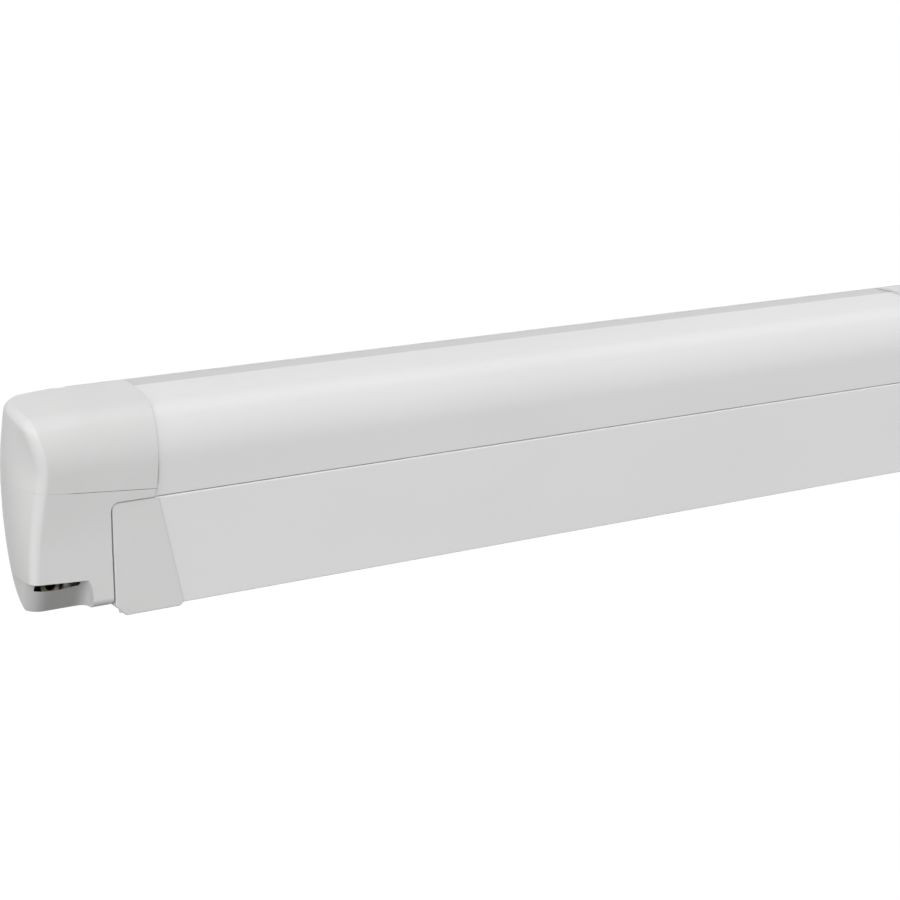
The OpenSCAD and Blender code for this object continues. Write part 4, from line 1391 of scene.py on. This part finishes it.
    def build(self, wardrobe: Wardrobe) -> None:
        """Makes and dresses both halves.

        Args:
            wardrobe: the finishes.
        """
        for made, half in ((self.upper(), "upper"), (self.lower(), "lower")):
            Bench.ease(made, 0.0, 28.0)
            winch = self.side is Side.LEFT and half == "lower"
            finish = wardrobe["winch_cap_white" if winch else "cap_white"]
            Bench.hand_over(made, "housing", "cap_white", finish, f"{self.side.word}_{half}_cap")


@dataclass
class LeadRail:
    """Front panel that closes the case, its bead groove, leg lanes and end caps, in millimetres."""

    end: float = 470.0
    front_y: float = -86.411
    top_z: float = -5.409
    height: float = 97.0
    wall: float = 2.5
    web: float = 2.0
    lane_w: float = 20.5
    lane_h: float = 26.0
    lane_foot: float = 3.0
    back_rise: float = 6.0
    bead_r: float = 2.6
    bead_wall: float = 1.8
    bead_slit: float = 2.2
    edge_r: float = 1.5
    cap_proud: float = 1.2
    cap_end: float = 3.8
    cap_top_l: float = 42.5
    cap_bottom_l: float = 63.0
    cap_rounds: tuple[float, float] = (6.0, 5.0)
    cap_chamfer: float = 9.0
    cap_lip: float = 2.5
    cap_rise: float = 0.5
    cap_edge: float = 1.0
    far: float = 300.0

    def __post_init__(self) -> None:
        """Works out the rail's other lines."""
        self.bottom_z = self.top_z - self.height
        self.inner_y = self.front_y + self.wall
        self.lane_z = self.bottom_z + self.lane_foot + self.lane_h
        self.back_y = self.inner_y + 2 * (self.lane_w + self.web)
        shell = self.bead_r + self.bead_wall
        self.bead = np.array((self.inner_y + shell + 3, self.top_z - 2 - shell))

    def outline(self) -> list[np.ndarray]:
        """Section of the rail: panel, top web, bead groove with its slit, and the two lanes.

        Returns:
            The points in Y and Z.
        """
        def bend(radius: float, first: float, last: float, count: int) -> list[np.ndarray]:
            """Points round the bead's middle between two angles in radians."""
            return [self.bead + radius * np.array((math.cos(a), math.sin(a)))
                    for a in np.linspace(first, last, count)]

        low, high = 0.4, 0.4 + self.bead_slit
        groove, shell = self.bead_r + 0.1, self.bead_r + self.bead_wall
        spread = [(math.asin(low / r), math.asin(high / r)) for r in (groove, shell)]
        inner = bend(groove, spread[0][1], 2 * math.pi + spread[0][0], 40)
        outer = bend(shell, 2 * math.pi + spread[1][0], math.pi * 0.62, 44)
        mouth = bend(shell, math.pi / 2, spread[1][1], 16)
        lane_1, lane_2 = self.inner_y + self.lane_w, self.back_y - self.web
        foot, over = self.bottom_z + self.lane_foot, self.lane_z + self.web
        edge = rounded_outline([(self.front_y, self.top_z, self.edge_r), (self.bead[0], self.top_z, 0),
                                (self.bead[0], self.bottom_z, 0), (self.front_y, self.bottom_z, 0.8)], 6)
        front = [p for p in edge if p[0] < self.front_y + self.edge_r + 0.1]
        top_round, foot_round = front[:7], front[7:]
        lanes = [(self.inner_y, self.top_z - self.web), (self.inner_y, over), (lane_2, over),
                 (lane_2, over + self.back_rise), (self.back_y, over + self.back_rise), (self.back_y, foot),
                 (lane_2, foot), (lane_2, self.lane_z), (lane_1 + self.web, self.lane_z),
                 (lane_1 + self.web, foot), (lane_1, foot), (lane_1, self.lane_z),
                 (self.inner_y, self.lane_z), (self.inner_y, self.bottom_z)]
        return [np.array(p) for p in (*foot_round, *top_round, (self.bead[0], self.top_z), *mouth[1:],
                                      *inner, *outer, *lanes)]

    def rail(self) -> bpy.types.Object:
        """Builds the rail.

        Returns:
            The rail.
        """
        made = Bench.prism("lead_rail_extrusion", self.outline(), -self.end, self.end)
        Bench.ease(made, 0.2)
        return made

    def cap(self, side: Side) -> bpy.types.Object:
        """Builds one cap: a skin with a slanted inner edge and rounded rim, and an end wall.

        Args:
            side: end of the rail.

        Returns:
            The cap.
        """
        x = -self.end - self.cap_end
        low, high = self.bottom_z - self.cap_lip, self.top_z + self.cap_rise
        corners = [(x + self.cap_top_l, high, 1.5), (x + self.cap_bottom_l, low, self.cap_rounds[1]),
                   (x + self.cap_chamfer, low, 3.0), (x, low + self.cap_chamfer, 3.0),
                   (x, high, self.cap_rounds[0])]
        skin = rounded_outline(corners, 8)
        front = self.front_y - self.cap_proud
        middle = np.mean(skin, axis=0)
        normals = []
        for i, point in enumerate(skin):
            along = skin[(i + 1) % len(skin)] - skin[i - 1]
            out = np.array((along[1], -along[0])) / np.linalg.norm(along)
            normals.append(out if out @ (point - middle) > 0 else -out)
        rings = []
        for a in (math.radians(90 - 15 * i) for i in range(7)):
            inset = self.cap_edge * (1 - math.cos(a))
            y = front + self.cap_edge * (1 - math.sin(a))
            rim = [p - n * inset for p, n in zip(skin, normals)]
            rings.append([(-side.value * p[0], y, p[1]) for p in rim])
        rings.append([(-side.value * p[0], self.back_y, p[1]) for p in skin])
        made = Bench.loft(f"{side.word}_lead_rail_cap", rings)
        for depth, foot in ((self.front_y - 0.1, self.bottom_z - 0.1), (self.inner_y, -self.far)):
            x0, x1 = sorted((side.value * self.end, 0.0))
            Bench.combine(made, Bench.block("room", (x0, depth, foot), (x1, self.far, self.far)), Solid.CUT)
        Bench.ease(made, 0.0)
        return made

    def build(self, wardrobe: Wardrobe) -> None:
        """Makes and dresses the rail and its caps.

        Args:
            wardrobe: the finishes.
        """
        Bench.hand_over(self.rail(), "lead", "powder_white", wardrobe["powder_white"], "lead_rail")
        for side in Side:
            Bench.hand_over(self.cap(side), "lead", "cap_white", wardrobe["cap_white"],
                            f"{side.word}_lead_cap")


@dataclass
class CarriedParts:
    """Parts whose CAD shape is right: merged copies with eased edges and smooth curves."""

    eased: dict[str, float]
    plain: tuple[str, ...]
    later: tuple[str, ...]

    def build(self, wardrobe: Wardrobe) -> None:
        """Makes and dresses one copy of each node that no other piece stands for.

        Args:
            wardrobe: the finishes.
        """
        record = frame["record"]
        slots = {part["node"]: part["material_slot"] for part in record["subparts"]}
        for body, nodes in record["behaviour"]["bodies"].items():
            for node in nodes:
                if node in Bench.replaced or node in self.later:
                    continue
                made = put_in_scene(f"{node}_part", frame["nodes"][node].data.copy())
                Bench.ease(made, 0.0 if node in self.plain else self.eased[slots[node]])
                Bench.hand_over(made, body, slots[node], wardrobe[slots[node]], node)


@dataclass
class Fasteners:
    """One set of cross-recess screws, in millimetres: where their heads sit and the way that they face."""

    node: str
    spots: list[tuple[float, float, float]]
    ways: list[tuple[float, float, float]]
    length: float
    head_r: float = 3.8
    head_h: float = 2.4
    shank_r: float = 1.8
    sides: int = 20

    def screw(self, kit: GraphKit) -> bpy.types.NodeSocket:
        """One screw in a graph, its head's seat at the origin and its head up.

        Args:
            kit: the graph.

        Returns:
            The screw's geometry.
        """
        sides = kit.number("Sides", self.sides)
        radius, height, shank, length = (kit.number(name, size * MM) for name, size in (
            ("Head radius", self.head_r), ("Head height", self.head_h), ("Shank radius", self.shank_r),
            ("Length", self.length)))
        cone = kit.node("GeometryNodeMeshCone", {}, {
            "Vertices": sides, "Radius Top": radius * 0.7, "Radius Bottom": radius, "Depth": height})
        head = cone.outputs["Mesh"]
        bar = kit.node("GeometryNodeMeshCube", {}, {"Size": kit.vector(radius, radius * 0.24, height)})
        for turn in (0.0, 90.0):
            tool = kit.moved(bar.outputs["Mesh"], kit.vector(0.0, 0.0, height), (0, 0, turn))
            head = kit.node("GeometryNodeMeshBoolean", {"operation": "DIFFERENCE", "solver": "EXACT"},
                            {"Mesh 1": head, "Mesh 2": tool}).outputs["Mesh"]
        rod = kit.node("GeometryNodeMeshCylinder", {}, {"Vertices": sides, "Radius": shank, "Depth": length})
        whole = kit.node("GeometryNodeJoinGeometry", {}, {0: head})
        kit.feed(whole.inputs[0], kit.moved(rod.outputs["Mesh"], kit.vector(0.0, 0.0, 0.0001 - length / 2)))
        return whole.outputs[0]

    def build(self, wardrobe: Wardrobe) -> None:
        """Makes the set by one graph that stands a screw on every spot.

        Args:
            wardrobe: the finishes.
        """
        base = bpy.data.meshes.new(self.node)
        base.from_pydata([tuple(x * MM for x in spot) for spot in self.spots], [], [])
        base.attributes.new("way", "FLOAT_VECTOR", "POINT").data.foreach_set("vector", np.ravel(self.ways))
        kit = GraphKit(f"{self.node}_graph")
        way = kit.node("GeometryNodeInputNamedAttribute", {"data_type": "FLOAT_VECTOR"}, {"Name": "way"})
        turn = kit.node(
            "FunctionNodeAlignRotationToVector", {"axis": "Z"}, {"Vector": way.outputs["Attribute"]})
        many = kit.node("GeometryNodeInstanceOnPoints", {}, {
            "Points": kit.entry.outputs["Geometry"], "Instance": self.screw(kit),
            "Rotation": turn.outputs["Rotation"]})
        made = kit.make(f"{self.node}_set", many.outputs["Instances"], wardrobe["plated_steel"], base)
        Bench.ease(made, 0.0)
        Bench.hand_over(made, "housing", "plated_steel", wardrobe["plated_steel"], self.node)


@dataclass
class ArmSpring:
    """Coil spring inside one upper arm, in millimetres."""

    side: Side
    start: float = 344.9
    length: float = 150.0
    axis: Point = (-31.136, -40.361)
    turns: float = 18.0
    coil_r: float = 6.8
    wire_r: float = 1.1
    steps: int = 20

    def build(self, wardrobe: Wardrobe) -> None:
        """Makes the spring by a graph that sweeps a wire along a helix.

        Args:
            wardrobe: the finishes.
        """
        name = f"{self.side.word}_arm_spring"
        kit = GraphKit(f"{name}_graph")
        radius = kit.number("Coil radius", self.coil_r * MM)
        path = kit.node("GeometryNodeCurveSpiral", {}, {
            "Resolution": kit.number("Steps", self.steps), "Rotations": kit.number("Turns", self.turns),
            "Start Radius": radius, "End Radius": radius, "Height": kit.number("Length", self.length * MM)})
        wire = kit.node("GeometryNodeCurvePrimitiveCircle", {}, {
            "Resolution": 8, "Radius": kit.number("Wire radius", self.wire_r * MM)})
        coil = kit.swept(path.outputs["Curve"], wire.outputs["Curve"])
        low = -self.start if self.side is Side.LEFT else self.start - self.length
        placed = kit.moved(coil, tuple(x * MM for x in (low, *self.axis)), (0, 90, 0))
        made = kit.make(f"{name}_coil", placed, wardrobe["plated_steel"])
        Bench.ease(made, 0.0, 60.0)
        Bench.hand_over(made, f"{self.side.word}_upper", "plated_steel", wardrobe["plated_steel"], name)


@dataclass
class Canopy:
    """Cloth of the awning: the wound roll and the free stretch to the lead rail, in millimetres."""

    width: float = 912.0
    axis: Point = (-45.5, 29.991)
    turns: float = 7.25
    radii: tuple[float, float] = (25.4, 30.6)
    thick: float = 0.66
    steps: int = 64
    leave: Point = (-45.5, -1.6)
    hem: Point = (-71.811, -10.3)
    pull: float = 686.4
    rows: int = 48

    def lay_cloth(self, made: bpy.types.Object, lengths: np.ndarray) -> None:
        """Gives a strip of four-point rings a UV map in metres of flat cloth.

        Args:
            made: the strip.
            lengths: length along the cloth at each ring, in metres.
        """
        mesh = made.data
        layer = mesh.uv_layers.new(name="cloth")
        for loop in mesh.loops:
            spot = mesh.vertices[loop.vertex_index].co
            layer.data[loop.index].uv = (spot.x, lengths[loop.vertex_index // 4])

    def roll(self, finish: bpy.types.Material) -> tuple[bpy.types.Object, float]:
        """Winds the cloth by a graph that sweeps its section along a spiral.

        Args:
            finish: the cloth's material.

        Returns:
            The roll and the length of cloth on it, in metres.
        """
        kit = GraphKit("canopy_roll_graph")
        path = kit.node("GeometryNodeCurveSpiral", {}, {
            "Resolution": kit.number("Steps", self.steps), "Rotations": kit.number("Turns", self.turns),
            "Start Radius": kit.number("Inner radius", self.radii[0] * MM),
            "End Radius": kit.number("Outer radius", self.radii[1] * MM), "Height": 0.0, "Reverse": True})
        level = kit.node("GeometryNodeSetCurveNormal", {"mode": "Z_UP"}, {"Curve": path.outputs["Curve"]})
        strip = kit.node("GeometryNodeCurvePrimitiveQuadrilateral", {}, {
            "Width": kit.number("Thickness", self.thick * MM),
            "Height": kit.number("Width", self.width * MM)})
        wound = kit.swept(level.outputs["Curve"], strip.outputs["Curve"])
        placed = kit.moved(wound, tuple(x * MM for x in (0.0, *self.axis)), (90, 0, 90))
        made = kit.make("canopy_wound", placed, finish)
        rings = len(made.data.vertices) // 4
        turn = np.linspace(0, 2 * math.pi * self.turns, rings)
        radius = np.linspace(*self.radii, rings) * MM
        lengths = np.concatenate(([0.0], np.cumsum(np.diff(turn) * (radius[1:] + radius[:-1]) / 2)))
        self.lay_cloth(made, lengths)
        return made, float(lengths[-1])

    def stretch(self) -> tuple[bpy.types.Object, float]:
        """Makes the flat stretch, with cloth enough in its UV map for the open awning.

        Returns:
            The stretch and its length when closed, in metres.
        """
        first, last = np.array(self.leave), np.array(self.hem)
        along = last - first
        length = float(np.linalg.norm(along))
        up = np.array((along[1], -along[0])) / length * self.thick / 2
        half = self.width / 2
        share = np.linspace(0, 1, self.rows + 1)
        corners = ((-half, 1), (half, 1), (half, -1), (-half, -1))
        spots = [first + along * part for part in share]
        rings = [[(x, *(spot + side * up)) for x, side in corners] for spot in spots]
        made = Bench.loft("canopy_free", rings)
        self.lay_cloth(made, (length * share + self.pull * share ** 2 * (3 - 2 * share)) * MM)
        return made, length * MM

    def build(self, wardrobe: Wardrobe) -> None:
        """Makes both pieces of cloth; the roll rides on the roller, and the stretch is left unattached in its
        place.

        Args:
            wardrobe: the finishes.
        """
        cloth = wardrobe["canopy_cloth"]
        wound, length = self.roll(cloth)
        Bench.hand_over(wound, "roller", "canopy_cloth", cloth, "canopy_roll")
        free, length = self.stretch()
        free.data.materials.append(cloth)
        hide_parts("canopy_stretch")
        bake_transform(free)
        LOG.info("%s: %d faces between case and hem", free.name, len(free.data.polygons))


@dataclass
class Studio:
    """Pale floor, soft lamps and the camera at the photograph's angle."""

    lens_mm: float = 84.0
    eye: tuple[float, float, float] = (-1.103955, -1.669859, 0.477762)
    pitch: float = 14.574
    yaw: float = 31.220
    floor_z: float = -0.96
    floor_size: float = 40.0
    floor_glow: float = 0.9
    floor_pale: float = 0.15
    white: float = 1.0
    ambient: float = 0.25
    lamps: tuple[tuple[str, tuple[float, float, float], float, float], ...] = (
        ("key", (-0.22, -0.76, 0.62), 40.0, 2.05),
        ("fill", (-0.92, -0.25, 0.33), 60.0, 1.05),
        ("back", (0.45, 0.88, 0.16), 60.0, 1.10),
    )

    def camera(self) -> bpy.types.Object:
        """Makes the camera and sets it as the scene's.

        Returns:
            The camera.
        """
        data = bpy.data.cameras.new("photo_camera")
        data.sensor_width = 36.0
        data.lens = self.lens_mm
        data.clip_end = 50.0
        pitch, yaw = math.radians(self.pitch), math.radians(self.yaw)
        right = Vector((math.cos(yaw), -math.sin(yaw), 0))
        level = Vector((math.sin(yaw), math.cos(yaw), 0))
        ahead = math.cos(pitch) * level - math.sin(pitch) * Vector((0, 0, 1))
        up = right.cross(ahead)
        turn = Matrix((right, up, -ahead)).transposed()
        camera = put_in_scene("photo_camera", data)
        camera.matrix_world = Matrix.Translation(Vector(self.eye)) @ turn.to_4x4()
        bpy.context.scene.camera = camera
        return camera

    def lamp(self, name: str, way: Vector, spread: float, strength: float) -> None:
        """Makes one wide, even lamp.

        Args:
            name: name of the lamp.
            way: direction that its light comes from.
            spread: angle that it fills in the sky, in degrees.
            strength: its strength.
        """
        data = bpy.data.lights.new(name, "SUN")
        data.angle = math.radians(spread)
        data.energy = strength
        lamp = put_in_scene(name, data)
        lamp.matrix_world = Matrix.Translation(way * 3) @ way.to_track_quat("Z", "Y").to_matrix().to_4x4()
        lamp.visible_glossy = name != "back"

    def shown_white(self, kit: NodeKit) -> Value:
        """Share of a ray that sees plain white: straight, in a mirror or through glass.

        Args:
            kit: tree of the floor or the world.

        Returns:
            1 for such a ray, else 0.
        """
        path = kit.node("ShaderNodeLightPath")
        seen = [Value(kit, path.outputs[word]) for word in
                ("Is Camera Ray", "Is Glossy Ray", "Is Transmission Ray")]
        return kit.math("MAXIMUM", kit.math("MAXIMUM", seen[0], seen[1]), seen[2])

    def floor(self) -> bpy.types.Object:
        """Makes the floor, white to the camera.

        Returns:
            The floor.
        """
        half = self.floor_size / 2
        mesh = bpy.data.meshes.new("floor")
        mesh.from_pydata([(x, y, self.floor_z) for x, y in
                          ((-half, -half), (half, -half), (half, half), (-half, half))], [], [(0, 1, 2, 3)])
        floor = put_in_scene("floor", mesh)
        kit = ShaderKit("floor_pale")
        kit.dress(Base_Color=(self.floor_pale,) * 3, Roughness=0.9)
        strength = self.white / self.floor_glow
        glow = kit.node("ShaderNodeEmission", {}, {"Color": (1, 1, 1), "Strength": strength})
        mixed = kit.node("ShaderNodeMixShader", {}, {
            0: self.shown_white(kit) * self.floor_glow, 1: kit.shader.outputs["BSDF"],
            2: glow.outputs["Emission"]})
        kit.feed(kit.output.inputs["Surface"], mixed.outputs["Shader"])
        mesh.materials.append(kit.material)
        return floor

    def world(self) -> None:
        """Makes the pale surroundings."""
        world = bpy.data.worlds.new("studio")
        world.use_nodes = True
        kit = NodeKit(world.node_tree)
        strength = self.shown_white(kit) * (self.white - self.ambient) + self.ambient
        back = kit.node("ShaderNodeBackground", {}, {"Color": (1, 1, 1), "Strength": strength})
        kit.node("ShaderNodeOutputWorld", {}, {"Surface": back.outputs["Background"]})
        bpy.context.scene.world = world

    def build(self) -> None:
        """Sets the whole stage."""
        bpy.context.scene.view_settings.view_transform = "Standard"
        self.camera()
        self.floor()
        self.world()
        for name, way, spread, strength in self.lamps:
            self.lamp(name, Vector(way), spread, strength)


def screw_sets(case: Cassette, cap: EndCap) -> list[Fasteners]:
    """The case's three sets of screws.

    Args:
        case: the housing extrusion.
        cap: one of its end caps.

    Returns:
        Screws of the end caps, of the end plates and of the wall brackets.
    """
    ends, down, ports = (-1, 1), (0, 0, -1), case.ports()
    plate_x, lock_z = case.end + 6.0, case.ledge_z - 4.0
    cap_spots = [(x * cap.screw_x, y, cap.bottom_z) for x in ends for y in cap.screw_y]
    plate_spots = [(x * plate_x, *port) for x in ends for port in ports]
    lock_spots = [(x * case.bracket_x, case.lock_y, lock_z) for x in ends]
    return [Fasteners("cap_screws", cap_spots, [down] * 4, length=10.0),
            Fasteners("plate_screws", plate_spots, [(x, 0, 0) for x in ends for _ in ports], length=20.0),
            Fasteners("bracket_screws", lock_spots, [down] * 2, length=8.0, head_r=2.2)]


def main() -> None:
    """Builds the stage, dresses every sub-assembly and reports each piece."""
    logging.basicConfig(level=logging.INFO, format="%(name)s: %(message)s")
    Studio().build()
    wardrobe = Wardrobe()
    wardrobe.dress_nodes()
    case = Cassette()
    caps = [EndCap(side, case) for side in Side]
    springs = [ArmSpring(side) for side in Side]
    widths = {"cast_aluminium": 0.6, "bare_aluminium": 0.2, "powder_white": 0.3, "plated_steel": 0.3,
              "cream_nylon": 0.3, "dark_nylon": 0.4, "bead_plastic": 0.2}
    carried = CarriedParts(widths, plain=("worm_wheel", "worm_shaft", "winch_eye", "canopy_bead"),
                           later=("canopy_roll", "canopy_stretch"))
    for group in (case, *caps, LeadRail(), *screw_sets(case, caps[0]), *springs, carried, Canopy()):
        group.build(wardrobe)


if __name__ == "__main__":
    main()
